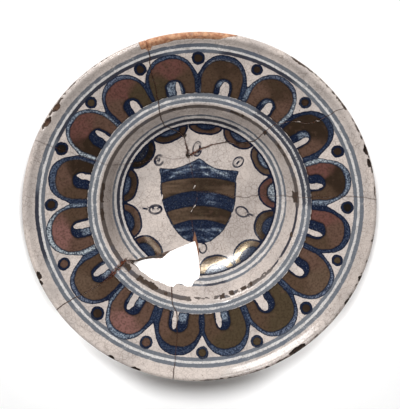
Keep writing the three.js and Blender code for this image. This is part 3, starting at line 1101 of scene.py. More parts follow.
def ellipse_distance(plan, x, y, length, width, turn):
    """Distance to an ellipse that lies at an angle."""
    angle = math.radians(turn)
    away = plan - np.array([x, y])
    first = away @ np.array([math.cos(angle), math.sin(angle)])
    second = away @ np.array([-math.sin(angle), math.cos(angle)])
    ratio = np.hypot(first / (length / 2), second / (width / 2))
    return (ratio - 1) * np.hypot(first, second) / np.maximum(ratio, 0.05)


# Thin strokes round the shield: loops (x, y, length, width, turn, faded side in degrees or None,
# weight), and tails as open lines.
LOOPS = [
    (-1.4, 36.3, 10.5, 6.0, 80, 20, 0.75), (-28.6, 28.2, 7.4, 5.8, 70, 20, 1.15),
    (27.6, 26.8, 8.4, 6.2, 45, None, 0.75), (-31.2, -7.3, 8.6, 6.0, 5, None, 1.15),
    (30.4, -9.0, 9.2, 6.6, 150, None, 0.9), (-31.0, -6.0, 4.0, 2.2, 10, 270, 0.8),
    (2.6, -35.4, 7.0, 5.0, 80, 140, 0.8),
]
TAILS = [
    [(-36, -7), (-38, -6.9), (-41, -6.4)],
    [(34.5, -10), (36.6, -11), (39, -12)],
    [(-29.6, 26.6), (-28.2, 28.3), (-28.6, 30.4)],
    [(26.2, 24.6), (27.2, 26.6), (29.2, 27.8)],
    [(-1.8, 32.6), (0.6, 36), (0.2, 39.6)],
]


def paint_strokes(points, layers):
    """Loops and tails of thin blue brushwork. The stroke is where the value is near zero."""
    index = np.flatnonzero(layers["radius"] < 46)
    plan = points[index, :2]
    strokes = []
    for x, y, length, width, turn, faded, weight in LOOPS:
        keep = np.ones(len(index))
        if faded is not None:
            away = np.degrees(np.arctan2(plan[:, 1] - y, plan[:, 0] - x))
            keep = near_angle(away, faded, 15, 55)
        strokes.append((ellipse_distance(plan, x, y, length, width, turn) / weight, keep))
    for tail in TAILS:
        strokes.append(stroke_distance(plan, resampled(rounded_line(tail), 0.6)[0]))
    stroke = np.full(len(points), NOWHERE)
    strength = np.zeros(len(points))
    for distance, keep in strokes:
        closer = (np.abs(distance) < np.abs(stroke[index])) & (np.abs(distance) < 2)
        stroke[index[closer]] = distance[closer]
        strength[index[closer]] = keep[closer]
    layers["stroke"] = stroke
    layers["stroke_strength"] = strength * (0.95 + 0.3 * tone_noise(points, 3))


def paint_rings(points, layers):
    """The tones of the rings, and the blue that has bled into the glaze between them."""
    radius, angle = layers["radius"], layers["angle"]
    nearest = np.abs(radius[:, None] - np.array([ring[0] for ring in RINGS])).argmin(1)
    fade = tone_noise(points, 12, 2)
    ink = np.zeros((len(points), 3))
    for number, (_, _, _, tone, navy_spans) in enumerate(RINGS):
        mine = nearest == number
        ink[mine] = mixed(RING_TONES[tone], COBALT["mid"], 0.5 * smoothstep(fade[mine], 0, 0.8))
        for start, end in navy_spans:
            within = smoothstep(past_span(angle[mine], start, end), 2, -3)
            navy = mixed(COBALT["navy"], COBALT["blue"], smoothstep(fade[mine], 0.3, 1.2))
            ink[mine] = mixed(ink[mine], navy, within)
    layers["ring_ink"] = ink
    off_line = np.abs(radius - COLLAR_RING)
    on_line = off_line < 2.5
    dashed = near_angle(angle, DASHED_ANGLE, 36, 28) * on_line
    dashed = dashed * (0.1 + smoothstep(tone_noise(points, 2.4, 2), -0.05, 0.35))
    thinned = near_angle(angle, THIN_ANGLE, 22, 18) * on_line * smoothstep(off_line, 0.4, 1.1)
    rubbed = 0.35 * smoothstep(tone_noise(points + 50, 4, 2), 0, 0.7)
    rubbed = rubbed * (ink[:, 2] > COBALT["navy"][2] * 2)
    flooded = 0.36 * smoothstep(np.abs(radius - FLOODED_RADIUS), 1.2, 0.6)
    layers["ring_wear"] = dashed + rubbed + thinned - flooded
    layers["bleed"] = np.zeros(len(points))
    for place, outer, inner, strength in BLEEDS:
        layers["bleed"] += strength * smoothstep(np.abs(radius - place), outer, inner)


# Patches of painted shade on the glaze: (angle, half the span in degrees, inner radius, outer radius,
# strength).
# They darken the glaze on the wall at the left, on the rim at the right and on the floor at the right.
PAINTED_SHADE_PATCHES = [(182, 34, 61, 69, 0.75), (342, 22, 112, 127, 0.35), (-8, 60, 16, 50, 0.35)]


def paint_shade_patches(layers):
    """Patches of painted shade on the glaze."""
    radius, angle = layers["radius"], layers["angle"]
    soot_and_shade = np.zeros(len(radius))
    for place, half, inner, outer, strength in PAINTED_SHADE_PATCHES:
        along = near_angle(angle, place, half * 1.2, half * 0.5)
        across = smoothstep(radius, inner - 2, inner + 2) * smoothstep(radius, outer + 2, outer - 2)
        soot_and_shade = np.maximum(soot_and_shade, strength * along * across)
    layers["soot_and_shade"] = soot_and_shade


# Dark spots where dirt has gathered in the breaks: (x, y, radius).
DIRT_SPOTS = [
    (-10.8, 45.8, 1.7), (46.6, 49.6, 1.9), (-8, 31.6, 1.6), (19.5, 42.2, 1.2), (67.6, 4.4, 2),
]


def break_dirt(name, plan, radius, distance):
    """How dark dirt made a break at points near it, and how far brown has crept out of it there."""
    dark = BREAK_LOOK[name][1] * np.ones(len(radius))
    crept = 0.2 * smoothstep(distance, 0.8, 0.2)
    if name == "seam_lower_left":
        crept = smoothstep(distance, 2.6, 0.9) * smoothstep(radius, 88, 80) * smoothstep(radius, 62, 66)
    if name == "seam_bottom":
        dark *= 0.35 + 0.65 * (smoothstep(radius, 94, 90) + smoothstep(radius, 112, 118))
    if name.startswith("seam_top"):
        junction = np.linalg.norm(plan - placed([UPPER_JUNCTION])[0], axis=1)
        crept = smoothstep(distance, 1.1 + 1.2 * smoothstep(junction, 9, 3), 0.4)
        crept = crept * smoothstep(radius, 45, 38)
    if name == "seam_top_right":
        dark *= 0.35 + 0.65 * smoothstep(radius, 80, 50)
    return dark, crept


def paint_breaks(points, layers, lines):
    """How near each point is to a break, and the brown that has crept out of it."""
    plan = points[:, :2]
    nearest = np.full(len(points), 20.0)
    soot = np.zeros(len(points))
    stain = np.zeros(len(points))
    for name, line in lines.items():
        low, high = line.min(0) - 6, line.max(0) + 6
        index = np.flatnonzero(((plan > low) & (plan < high)).all(1))
        distance = line_distance(plan[index], line)
        dark, crept = break_dirt(name, plan[index], layers["radius"][index], distance)
        closer = distance < nearest[index]
        nearest[index[closer]] = distance[closer]
        soot[index[closer]] = dark[closer]
        stain[index] = np.maximum(stain[index], crept)
    for x, y, size in DIRT_SPOTS:
        spot = np.hypot(plan[:, 0] - x, plan[:, 1] - y) + 0.8 * break_noise(points, 1.8, 2)
        nearest = np.minimum(nearest, np.maximum(spot - size + 0.6, 0))
        soot = np.where(spot < size, 1.1, soot)
    layers["break_distance"] = nearest
    layers["break_soot"] = soot * (0.85 + 0.4 * tone_noise(points, 4))
    layers["stain"] = stain


def store(piece, layers):
    """Keeps values or colours on the mesh's vertices for the shader."""
    for name, values in layers.items():
        kind = "FLOAT_COLOR" if values.ndim == 2 else "FLOAT"
        attribute = piece.data.attributes.new(name, kind, "POINT")
        if values.ndim == 2:
            values = np.column_stack([values, np.ones(len(values))])
            attribute.data.foreach_set("color", values.astype(np.float32).ravel())
        else:
            attribute.data.foreach_set("value", values.astype(np.float32))


def paint(piece, lines):
    """Works out every layer of the painting at each vertex of a sherd."""
    points = coordinates(piece)
    count = len(points)
    radius, angle = radius_and_angle(points)
    layers = {
        "radius": radius, "angle": angle,
        "cobalt": np.full(count, NOWHERE), "lustre": np.full(count, NOWHERE),
        "cobalt_ink": np.tile(COBALT["mid"], (count, 1)),
        "lustre_ink": np.tile(LUSTRE["brown"], (count, 1)),
    }
    for paint_part in (paint_petals, paint_dots, paint_scallops, paint_shield, paint_flakes,
                       paint_strokes, paint_rings):
        paint_part(points, layers)
    paint_shade_patches(layers)
    paint_breaks(points, layers, lines)
    near = np.flatnonzero(radius < 48)
    flaked = line_distance(points[near, :2], np.array(FLAKED_EDGE), True)
    layers["bare"] = bare_rim(radius, angle)
    layers["bare"][near] = flaked + 0.3 * break_noise(points[near], 2)
    layers["worn"] = worn_ridge(points, radius, angle)
    layers["depth"] = face_height(radius) - points[:, 2]
    del layers["radius"], layers["angle"]
    store(piece, layers)


# Materials

class Graph:
    """A material's nodes, with a short method for each kind that is used here."""

    def __init__(self, name):
        self.material = bpy.data.materials.new(name)
        self.material.use_nodes = True
        self.tree = self.material.node_tree
        self.place = self.add("TexCoord", {}, "Object")

    def put(self, socket, value):
        """Links a value or sets it."""
        if isinstance(value, bpy.types.NodeSocket):
            self.tree.links.new(value, socket)
        elif np.ndim(value) == 1 and len(value) == 3 and socket.type == "RGBA":
            socket.default_value = (*value, 1)
        else:
            socket.default_value = value

    def add(self, kind, inputs, output=0, **settings):
        """Makes a node with its settings and inputs, and gives one of its outputs."""
        node = self.tree.nodes.new("ShaderNode" + kind)
        for name, value in settings.items():
            setattr(node, name, value)
        for key, value in inputs.items():
            self.put(node.inputs[key], value)
        return node.outputs[output]

    def math(self, operation, *values, clamp=False):
        return self.add("Math", dict(enumerate(values)), operation=operation, use_clamp=clamp)

    def times(self, first, second, clamp=False):
        return self.math("MULTIPLY", first, second, clamp=clamp)

    def plus(self, first, second):
        return self.math("ADD", first, second)

    def minus(self, first, second):
        return self.math("SUBTRACT", first, second)

    def scaled(self, value, factor, shift, clamp=False):
        """A value times a factor, plus a shift."""
        return self.math("MULTIPLY_ADD", value, factor, shift, clamp=clamp)

    def attribute(self, name, output="Fac"):
        return self.add("Attribute", {}, output, attribute_name=name)

    def noise(self, size, detail=2.0):
        """Noise from 0 to 1 with features of a size in millimetres."""
        scale = 1 / (size * MILLIMETRE)
        inputs = {"Vector": self.place, "Scale": scale, "Detail": detail, "Roughness": 0.55}
        return self.add("TexNoise", inputs, "Fac")

    def cells(self, size, feature="DISTANCE_TO_EDGE"):
        """Voronoi distances between cells of a size in millimetres."""
        inputs = {"Vector": self.place, "Scale": 1 / (size * MILLIMETRE)}
        return self.add("TexVoronoi", inputs, "Distance", feature=feature)

    def span(self, value, low, high, to_low=0.0, to_high=1.0):
        """A value moved from one range to another, smoothly and without running past it."""
        inputs = dict(enumerate((value, low, high, to_low, to_high)))
        return self.add("MapRange", inputs, "Result", interpolation_type="SMOOTHSTEP")

    def patches(self, size, low, high, to_low=0.0, to_high=1.0, detail=2.0):
        """Soft patches of a size in millimetres: noise, moved from one range to another."""
        return self.span(self.noise(size, detail), low, high, to_low, to_high)

    def mix(self, share, first, second, blend="MIX"):
        """A colour between two. Their sockets are 6 and 7, and the mixed colour's is 2."""
        inputs = {0: share, 6: first, 7: second}
        return self.add("Mix", inputs, 2, data_type="RGBA", blend_type=blend)

    def part_of_place(self, axis):
        """One coordinate, in millimetres."""
        return self.math("DIVIDE", self.add("SeparateXYZ", {0: self.place}, axis), MILLIMETRE)

    def radius(self):
        """Distance from the dish's axis in millimetres."""
        squares = [self.math("POWER", self.part_of_place(axis), 2.0) for axis in (0, 1)]
        return self.math("SQRT", self.plus(*squares))

    def ramp(self, value, stops):
        """A value from 0 to 1 through stops of (place, height)."""
        colour = self.add("ValToRGB", {0: value}, "Color")
        elements = colour.node.color_ramp.elements
        while len(elements) < len(stops):
            elements.new(0.5)
        for element, (place, height) in zip(elements, stops):
            element.position = place
            element.color = (height, height, height, 1)
        return colour

    def finish(self, colour, roughness, height, strength, distance, **values):
        """Fills the shader in, with the height as a bump, and gives the finished material."""
        inputs = {"Height": height, "Strength": strength, "Distance": distance * MILLIMETRE}
        shader = self.tree.nodes["Principled BSDF"]
        self.put(shader.inputs["Base Color"], colour)
        self.put(shader.inputs["Roughness"], roughness)
        self.put(shader.inputs["Normal"], self.add("Bump", inputs, "Normal"))
        for name, value in values.items():
            self.put(shader.inputs[name.replace("_", " ")], value)
        return self.material


GLAZE = from_255(205, 193, 185)
GLAZE_GREY = from_255(187, 177, 171)
GLAZE_BLUED = from_255(208, 207, 206)
# A grey brown: painted shade on the glaze, and dull patches on bare clay.
SHADE_AND_DULL_GLAZE = from_255(140, 130, 124)
DIRT = from_255(84, 68, 58)
CLAY = from_255(198, 152, 118)
CLAY_DARK = from_255(158, 106, 78)
SOOTY_CLAY = from_255(104, 66, 48)
SOOT = from_255(40, 34, 30)
BLACKENED = from_255(28, 23, 20)
BURNT_CLAY = from_255(56, 41, 33)
ADHESIVE = from_255(112, 50, 28)
ADHESIVE_DARK = from_255(58, 34, 22)
ADHESIVE_PALE = from_255(150, 88, 40)
GOLD = (1.0, 0.8, 0.52)
# Dirt in the angle at the foot of the wall makes the glaze matt round this radius.
DIRTY_ANGLE = 59.8


# The ramp of rings starts at this radius and ends at the rim.
RING_INNER = 50.0


def ring_stops():
    """The dark rings of the painting along the radius, as stops of a ramp."""
    stops = [(0.0, 0.0)]
    for place, half, strength, _, _ in RINGS:
        for shift, height in ((-half - 0.4, 0), (-half + 0.1, strength),
                              (half - 0.1, strength), (half + 0.4, 0)):
            stops.append(((place + shift - RING_INNER) / (RIM_RADIUS - RING_INNER), height))
    return stops + [(1.0, 0.0)]


def crazing(graph):
    """Fine cracks in the glaze, from 0 to 1."""
    wide = graph.span(graph.cells(7.5), 0.03, 0.008)
    fine = graph.span(graph.cells(3.4), 0.06, 0.015)
    return graph.math("MAXIMUM", graph.times(wide, 0.55), graph.times(fine, graph.patches(18, 0.42, 0.62)))


def white_glaze(graph, cracks):
    """The tin glaze: blued beside the rings, darkened by painted shade in patches, cracked and speckled.
    """
    broad = graph.noise(22, 3)
    glaze = graph.mix(graph.span(broad, 0.35, 0.65), GLAZE, GLAZE_GREY)
    glaze = graph.mix(graph.times(graph.attribute("bleed"), 0.75, clamp=True), glaze, GLAZE_BLUED)
    # Painted shade: the glaze turns grey brown in the patches of painted shade.
    painted_shade = graph.times(graph.attribute("soot_and_shade"), graph.span(broad, 0.2, 0.7, 0.7, 1))
    glaze = graph.mix(painted_shade, glaze, SHADE_AND_DULL_GLAZE)
    glaze = graph.mix(graph.patches(3, 0.5, 0.8, 0, 0.25, detail=3), glaze, DIRT)
    glaze = graph.mix(graph.patches(0.9, 0.45, 0.75, 0, 0.34, detail=3), glaze, DIRT)
    glaze = graph.mix(graph.times(cracks, 0.45), glaze, DIRT)
    specks = graph.span(graph.cells(2.6, "F1"), 0.16, 0.08)
    return graph.mix(graph.times(specks, graph.patches(5, 0.5, 0.62)), glaze, DIRT)


def ring_paint(graph, grain, ragged):
    """Where the rings are, and their blue."""
    wobble = graph.scaled(graph.noise(9), 0.7, -0.35)
    place = graph.plus(graph.radius(), graph.scaled(ragged, 0.7, wobble))
    place = graph.math("DIVIDE", graph.minus(place, RING_INNER), RIM_RADIUS - RING_INNER)
    ring = graph.minus(graph.ramp(place, ring_stops()), graph.attribute("ring_wear"))
    ring = graph.span(graph.plus(ring, graph.scaled(grain, 1.3, -0.65)), 0.2, 0.6)
    ink = graph.attribute("ring_ink", "Color")
    lighter = graph.mix(1.0, ink, (1.5, 1.5, 1.5), "MULTIPLY")
    return ring, graph.mix(graph.span(grain, 0.45, 0.7), ink, lighter)


def lustre_paint(graph):
    """The brown lustre, mottled, and black along its edge."""
    brown = graph.attribute("lustre_ink", "Color")
    brown = graph.mix(graph.patches(1.5, 0.42, 0.68, 0, 0.5, detail=4), brown, LUSTRE["dark"])
    brown = graph.mix(graph.patches(5, 0.55, 0.75, 0, 0.35, detail=3), brown, LUSTRE["russet"])
    brown = graph.mix(graph.patches(7, 0.55, 0.75, 0, 0.35, detail=3), brown, LUSTRE["olive"])
    return graph.mix(graph.span(graph.attribute("lustre"), -1.4, -0.4, 0, 0.5), brown, LUSTRE["black"])


def cobalt_paint(graph):
    """The cobalt: grainy, pale in flecks, and navy along its edge."""
    ink = graph.attribute("cobalt_ink", "Color")
    lighter = graph.mix(1.0, ink, (1.75, 1.75, 1.65), "MULTIPLY")
    ink = graph.mix(graph.patches(1.0, 0.4, 0.62, detail=4), graph.mix(0.8, ink, COBALT["navy"]), lighter)
    ink = graph.mix(graph.patches(0.7, 0.58, 0.75, 0, 0.5), ink, COBALT["pale"])
    return graph.mix(graph.span(graph.attribute("cobalt"), -1.2, -0.4, 0, 0.85), ink, COBALT["navy"])


def thin_strokes(graph, colour, ragged):
    """The loops and tails, drawn over a colour."""
    stroke = graph.math("ABSOLUTE", graph.plus(graph.attribute("stroke"), graph.times(ragged, 0.5)))
    stroke = graph.times(graph.span(stroke, 0.95, 0.5), graph.attribute("stroke_strength"), clamp=True)
    return graph.mix(stroke, colour, graph.mix(graph.patches(4, 0.55, 0.9), COBALT["navy"], COBALT["mid"]))


def dirty_breaks(graph, colour, ragged):
    """The breaks and the stains beside them, laid over a colour."""
    stain = graph.times(graph.attribute("stain"), graph.patches(1.5, 0.3, 0.55, detail=3), clamp=True)
    colour = graph.mix(stain, colour, graph.mix(graph.patches(1.3, 0.38, 0.55, detail=3), ADHESIVE, SOOT))
    crack = graph.span(graph.plus(graph.attribute("break_distance"), graph.times(ragged, 0.4)), 0.6, 0.15)
    return graph.mix(graph.times(crack, graph.attribute("break_soot"), clamp=True), colour, SOOT)


def bare_clay(graph):
    """Clay that lost its glaze: dirty, darker at the edge of the glaze and in the well."""
    clay = graph.mix(graph.patches(2.5, 0.35, 0.65, detail=3), CLAY, CLAY_DARK)
    clay = graph.mix(graph.patches(3.5, 0.55, 0.7, 0, 0.6, detail=4), clay, SHADE_AND_DULL_GLAZE)
    clay = graph.mix(graph.patches(1.2, 0.55, 0.75, 0, 0.6, detail=3), clay, DIRT)
    clay = graph.mix(graph.span(graph.attribute("bare"), -0.7, -0.1, 0, 0.6), clay, DIRT)
    return graph.mix(graph.span(graph.radius(), 60, 50, 0, 0.75), clay, SOOTY_CLAY)


def inside_of(graph, name, ragged, reach=0.15):
    """1 inside a stored shape and 0 outside it, with a ragged edge."""
    return graph.span(graph.plus(graph.attribute(name), ragged), reach, -reach)


def lustre_film(graph, lustre, cobalt):
    """How much metal the lustre has kept. There is none under the cobalt."""
    film = graph.times(lustre, graph.minus(1.0, cobalt))
    return graph.times(film, graph.patches(3, 0.3, 0.7, 0.6, 1.0, detail=3))


def glaze_roughness(graph, ring, matt):
    """Rougher on the rings, in the dirt at the foot of the wall, and most where glaze is lost."""
    from_angle = graph.math("ABSOLUTE", graph.minus(graph.radius(), DIRTY_ANGLE))
    roughness = graph.scaled(ring, 0.3, graph.scaled(graph.noise(7, 3), 0.1, 0.08))
    roughness = graph.plus(roughness, graph.span(from_angle, 2.2, 0.9, 0, 0.4))
    return graph.scaled(matt, 0.6, roughness, clamp=True)


def glaze_relief(graph, cracks, cobalt, matt):
    """The fine height of the surface: cracks sink, cobalt stands proud and bare clay is gritty."""
    height = graph.scaled(cracks, -0.08, graph.times(graph.noise(6), 0.7))
    height = graph.plus(height, graph.times(cobalt, 0.15))
    return graph.scaled(graph.times(matt, graph.noise(0.7, 3)), 1.5, height)


def painted_maiolica():
    """White tin glaze painted in cobalt and lustre, with all its wear."""
    graph = Graph("painted_maiolica")
    grain = graph.noise(0.8, 3)
    ragged = graph.scaled(graph.noise(1.6), 0.9, -0.45)
    cracks = crazing(graph)
    ring, ring_ink = ring_paint(graph, grain, ragged)
    lustre = inside_of(graph, "lustre", ragged, 0.12)
    cobalt = inside_of(graph, "cobalt", ragged)
    worn = inside_of(graph, "worn", graph.times(ragged, 1.6))
    bare = inside_of(graph, "bare", graph.times(ragged, 1.3))
    colour = graph.mix(graph.times(ring, 0.95), white_glaze(graph, cracks), ring_ink)
    colour = graph.mix(lustre, colour, lustre_paint(graph))
    colour = graph.mix(cobalt, colour, cobalt_paint(graph))
    colour = dirty_breaks(graph, thin_strokes(graph, colour, ragged), ragged)
    colour = graph.mix(worn, colour, graph.mix(grain, SOOT, DIRT))
    colour = graph.mix(bare, colour, bare_clay(graph))
    matt = graph.math("MAXIMUM", bare, worn)
    film = lustre_film(graph, lustre, cobalt)
    roughness = glaze_roughness(graph, ring, matt)
    height = glaze_relief(graph, cracks, cobalt, matt)
    return graph.finish(
        colour, roughness, height, 0.22, 0.15, IOR=graph.scaled(film, 0.5, 1.5),
        Specular_Tint=graph.mix(film, (1, 1, 1), GOLD), Metallic=graph.times(film, 0.15))


def fired_clay():
    """The broken faces: a thin edge of glaze over buff to terracotta clay, with soot and grit."""
    graph = Graph("fired_clay")
    colour = graph.mix(graph.patches(3, 0.3, 0.7, detail=4), CLAY, CLAY_DARK)
    colour = graph.mix(graph.patches(0.9, 0.5, 0.75, 0, 0.6, detail=4), colour, DIRT)
    colour = graph.mix(graph.span(graph.attribute("depth"), 0.45, 0.25), colour, GLAZE_GREY)
    sooty = graph.mix(graph.patches(1.5, 0.35, 0.6, detail=3), BURNT_CLAY, BLACKENED)
    colour = graph.mix(graph.attribute("soot"), colour, sooty)
    height = graph.plus(graph.noise(1.2, 5), graph.times(graph.cells(0.9, "F1"), 0.4))
    return graph.finish(colour, graph.patches(2, 0.3, 0.7, 0.75, 0.95), height, 0.8, 0.35)


def plain_glaze():
    """The glaze of the underside: thinner, with pinholes, and rubbed off the foot."""
    graph = Graph("plain_glaze")
    colour = graph.mix(graph.patches(20, 0.35, 0.65, detail=4), GLAZE, GLAZE_GREY)
    colour = graph.mix(graph.patches(9, 0.52, 0.72, 0, 0.4, detail=4), colour, CLAY)
    colour = graph.mix(graph.times(crazing(graph), 0.4), colour, DIRT)
    pin = graph.times(graph.span(graph.cells(4, "F1"), 0.13, 0.07), graph.patches(8, 0.45, 0.6))
    colour = graph.mix(pin, colour, SOOT)
    level = graph.plus(graph.part_of_place(2), graph.scaled(graph.noise(3, 3), 1.6, -0.8))
    rubbed = graph.span(level, 1.1, 0.5)
    colour = graph.mix(rubbed, colour, graph.mix(graph.patches(1.4, 0.4, 0.7, detail=4), CLAY, DIRT))
    roughness = graph.scaled(rubbed, 0.55, graph.patches(8, 0.3, 0.7, 0.2, 0.35))
    height = graph.scaled(pin, -1.0, graph.noise(4, 3))
    return graph.finish(colour, roughness, height, 0.4, 0.2)


def old_adhesive():
    """Brittle amber glue, darker where dirt has settled on it."""
    graph = Graph("old_adhesive")
    colour = graph.mix(graph.patches(2.5, 0.3, 0.7, detail=4), ADHESIVE, ADHESIVE_DARK)
    colour = graph.mix(graph.patches(0.8, 0.55, 0.75, 0, 0.7, detail=3), colour, ADHESIVE_PALE)
    return graph.finish(colour, graph.patches(3, 0.3, 0.7, 0.25, 0.6), graph.noise(1.0, 3), 0.5, 0.15)


# The adhesive

# How far the film lies under the glaze, and ends before the ends of its break and the rim.
SEAM_DEPTH = 0.45
SEAM_END_GAP = 1.5
# How much of the gap's width it fills.
SEAM_FILL = 0.7
SEAM_ROWS = 7
# The hole of the lost sherd reaches from one of these radii to the other along its breaks.
HOLE_INNER = RIM_RADIUS * 0.2
HOLE_OUTER = RIM_RADIUS * 0.52


def holds_film(name, along, radius):
    """Which points along a break still have adhesive."""
    keep = (along > SEAM_END_GAP) & (radius < RIM_RADIUS - SEAM_END_GAP)
    if name in SEAM_SKIPS_FIRST:
        keep &= radius > HOLE_OUTER
    if name in SEAM_SKIPS_LAST:
        keep &= radius < HOLE_INNER
    if name.startswith("seam_shield"):
        keep &= along < along[-1] - SEAM_END_GAP
    return keep


def seam(name, material):
    """The film of adhesive in one break, a little below the glaze on both faces."""
    line, along = break_line(name)
    side = sideways(line)
    radius = np.hypot(*line.T)
    keep = holds_film(name, along, radius)
    half = gap_width(name, line)[keep] * SEAM_FILL
    ends = clear_of_ends(along)[keep]
    line, side, along, radius = line[keep], side[keep], along[keep], radius[keep]
    top = face_height(radius) - SEAM_DEPTH
    bottom = base_height(radius) + SEAM_DEPTH
    loops = []
    for i in range(len(line)):
        heights = np.linspace(bottom[i], top[i], SEAM_ROWS)
        depth = face_height(radius[i]) - heights
        drift = break_drift(name, np.full(SEAM_ROWS, along[i]), depth, ends[i])
        middle = line[i] + side[i] * drift[:, None]
        left = np.column_stack([middle + side[i] * half[i], heights])
        right = np.column_stack([middle - side[i] * half[i], heights])
        loops.append(np.vstack([left, right[::-1]]))
    vertices, faces = loft(loops)
    count = 2 * SEAM_ROWS
    for first in (0, len(vertices) - count):
        last = first + count - 1
        for row in range(SEAM_ROWS - 1):
            faces.append((first + row, first + row + 1, last - 1 - row, last - row))
    return outside(new_object(name + "_film", vertices, faces, [material]))


# The setting

# The faint even light from all round.
FILL = 0.12
LIGHT_DISTANCE = 2.0
# The softboxes: name, azimuth, angle from overhead, width and length in metres, power in watts,
# and whether the glaze mirrors it. The dish and the floor are lit apart, as the photograph has a
# soft oblique light and a short shadow.
DISH_LIGHTS = [
    ("key", 122, 59, 1.3, 0.65, 27.5, True), ("key_right", 88, 44, 0.8, 0.8, 14.5, False),
    ("side_right", 40, 50, 0.8, 0.8, 10.5, False), ("side_front", 246, 50, 0.8, 0.8, 11.5, False),
    ("fill_above", 112, 1, 4.0, 4.0, 1.5, False), ("well_glint", 150, 5.3, 0.32, 0.2, 5.2, True),
    ("side_glint", 338, 7.2, 0.1, 0.1, 0.17, True),
]
FLOOR_LIGHT = ("backdrop", 90, 19.5, 0.26, 0.62, 39.2, True)
# Small lamps close over the floor beside the rim, which keep the shadow to the front of the dish,
# as in the photograph: angle, and strength.
FLOOR_FILLS = [
    (196, 0.5), (210, 0.6), (226, 1.05), (242, 0.5), (297, 0.55), (314, 0.8), (332, 0.55), (346, 0.35),
]
FLOOR_FILL_RADIUS = 135
FLOOR_FILL_HEIGHT = 26
FLOOR_FILL_SIZE = 30
FLOOR_FILL_POWER = 0.0068
# The lamp under the hole, which keeps the floor in it pale.
HOLE_LAMP_PLACE = (-21, -48, 2.5)
HOLE_LAMP_SIZE = (46, 50)
HOLE_LAMP_POWER = 0.0078
PIECES = [*(name + "_painted" for name in SHERDS), *(name + "_film" for name in BREAKS)]
FLOOR_HALF = 4000.0


def light_group(name, members):
    """The objects that a lamp lights."""
    group = bpy.data.collections.new(name + "_lit")
    for member in members:
        group.objects.link(member)
    return group


def lamp(name, shape, size, power, lit):
    """A lamp of a size in metres that lights only some of the objects, or all for None."""
    data = bpy.data.lights.new(name, "AREA")
    data.shape = shape
    data.size, data.size_y = size
    data.energy = power
    made = bpy.data.objects.new(name, data)
    bpy.context.scene.collection.objects.link(made)
    made.light_linking.receiver_collection = lit
    return made


def softbox(name, azimuth, zenith, width, length, power, mirrored, lit):
    """A round or oval softbox that looks at the dish."""
    box = lamp(name, "ELLIPSE", (width, length), power, lit)
    turn, tilt = math.radians(azimuth), math.radians(zenith)
    away = (math.cos(turn) * math.sin(tilt), math.sin(turn) * math.sin(tilt), math.cos(tilt))
    box.location = [LIGHT_DISTANCE * value for value in away]
    box.rotation_euler = (tilt, 0, turn + math.pi / 2)
    box.visible_glossy = mirrored


def lamp_near_floor(name, place, width, length, power, lit):
    """A small lamp just over the floor, which the camera and the glaze don't see."""
    small = lamp(name, "RECTANGLE", (width * MILLIMETRE, length * MILLIMETRE), power, lit)
    small.location = [value * MILLIMETRE for value in place]
    small.visible_camera = small.visible_glossy = False


def floor_plane():
    """A wide pale floor with a faint mottle."""
    corners = [(x * FLOOR_HALF, y * FLOOR_HALF, 0) for x, y in ((-1, -1), (1, -1), (1, 1), (-1, 1))]
    floor = new_object("floor", corners, [(0, 1, 2, 3)])
    graph = Graph("pale_floor")
    colour = graph.mix(graph.noise(60, 3), from_255(250, 250, 250), from_255(255, 255, 255))
    floor.data.materials.append(graph.finish(colour, 0.8, graph.noise(3), 0.02, 0.05))
    return floor


# The photograph's view: tilt from overhead, distance, and where the rim's middle lands in a frame
# of 400 by 409 pixels.
VIEW_TILT = 9.3
VIEW_DISTANCE = 3.0
AIM_HEIGHT = 0.046
FRAME_WIDTH, FRAME_HEIGHT = 400, 409
FOCAL_PIXELS = 4265
AIM_PIXEL = (199.3, 207.4)
SENSOR = 36.0


def camera():
    """The camera of the photograph."""
    data = bpy.data.cameras.new("camera")
    data.sensor_fit = "VERTICAL"
    data.sensor_height = SENSOR
    data.lens = FOCAL_PIXELS * SENSOR / FRAME_HEIGHT
    data.clip_start, data.clip_end = 0.1, 50
    eye = bpy.data.objects.new("camera", data)
    bpy.context.scene.collection.objects.link(eye)
    tilt = math.radians(VIEW_TILT)
    back = np.array([0, math.sin(tilt), math.cos(tilt)])
    up = np.array([0, math.cos(tilt), -math.sin(tilt)])
    scale = VIEW_DISTANCE / FOCAL_PIXELS
    aside = (FRAME_WIDTH / 2 - AIM_PIXEL[0]) * scale
    above = (AIM_PIXEL[1] - FRAME_HEIGHT / 2) * scale
    place = np.array([0, 0, AIM_HEIGHT]) + back * VIEW_DISTANCE + up * above
    eye.location = (place[0] + aside, place[1], place[2])
    eye.rotation_euler = (-tilt, 0, 0)
    bpy.context.scene.camera = eye


def even_light():
    """The faint white light from all round, which the glaze doesn't mirror."""
    world = bpy.data.worlds.new("studio")
    bpy.context.scene.world = world
    world.use_nodes = True
    background = world.node_tree.nodes["Background"]
    background.inputs["Color"].default_value = (1, 1, 1, 1)
    background.inputs["Strength"].default_value = FILL
    world.cycles_visibility.glossy = False


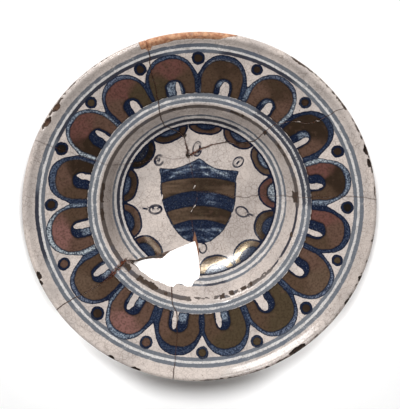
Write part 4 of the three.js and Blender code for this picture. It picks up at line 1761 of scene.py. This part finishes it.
def studio_lights(floor):
    """The softboxes and the small lamps."""
    dish = light_group("dish", [piece for piece in bpy.context.scene.objects if piece.name in PIECES])
    ground = light_group("ground", [floor])
    for light in DISH_LIGHTS:
        softbox(*light, dish)
    softbox(*FLOOR_LIGHT, ground)
    lamp_near_floor("under_hole", HOLE_LAMP_PLACE, *HOLE_LAMP_SIZE, HOLE_LAMP_POWER, None)
    for number, (angle, strength) in enumerate(FLOOR_FILLS):
        place = (*polar(FLOOR_FILL_RADIUS, angle), FLOOR_FILL_HEIGHT)
        power = FLOOR_FILL_POWER * strength
        lamp_near_floor(f"floor_fill_{number}", place, FLOOR_FILL_SIZE, FLOOR_FILL_SIZE, power, ground)


def setting():
    """A plain pale floor, soft studio lights and the camera of the photograph."""
    view = bpy.context.scene.view_settings
    view.view_transform = "Standard"
    view.look = "None"
    floor = floor_plane()
    even_light()
    studio_lights(floor)
    camera()


# Making it all

# The face of the rim's chips round this angle is a little less sooty.
CLEANER_CHIPS = 148


def soot_on_loss(piece):
    """Dark staining on the upper left faces of the hole and in the old chips of the rim."""
    points = coordinates(piece)
    centre = placed([LOSS_CENTRE])[0]
    away = points[:, :2] - centre
    radius, angle = radius_and_angle(points)
    upper_left = smoothstep(away @ np.array([-0.45, 0.89]), 0, 5)
    near = smoothstep(np.hypot(*away.T), 32, 26)
    soot = upper_left * near * (0.86 + 0.3 * break_noise(points, 3, 2))
    deep = smoothstep(face_height(radius) - points[:, 2], 0.5, 1.0)
    soot_and_shade = 1 - 0.12 * deep * near_angle(angle, CLEANER_CHIPS, 12, 10)
    soot = np.maximum(soot, smoothstep(radius, RIM_RADIUS - 8, RIM_RADIUS - 6) * soot_and_shade)
    store(piece, {"soot": np.clip(soot, 0, 1)})


def make_dish():
    """The sherds and the adhesive, each riding on the dish's only body."""
    painted, clay, glaze = painted_maiolica(), fired_clay(), plain_glaze()
    dish = whole_dish([painted, clay, glaze])
    cut(dish, loss_cutter(), clay)
    for name in BREAKS:
        cut(dish, break_cutter(name), clay)
    for chip in chip_cutters():
        cut(dish, chip, clay)
    lines = {name: break_line(name)[0] for name in BREAKS}
    for node, piece in separate_sherds(dish).items():
        paint(piece, lines)
        soot_on_loss(piece)
        piece.data.set_sharp_from_angle(angle=math.radians(38))
        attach(piece, "root")
        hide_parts(node)
    film = old_adhesive()
    for name in BREAKS:
        piece = seam(name, film)
        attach(piece, "root")
        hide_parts(name)


make_dish()
setting()
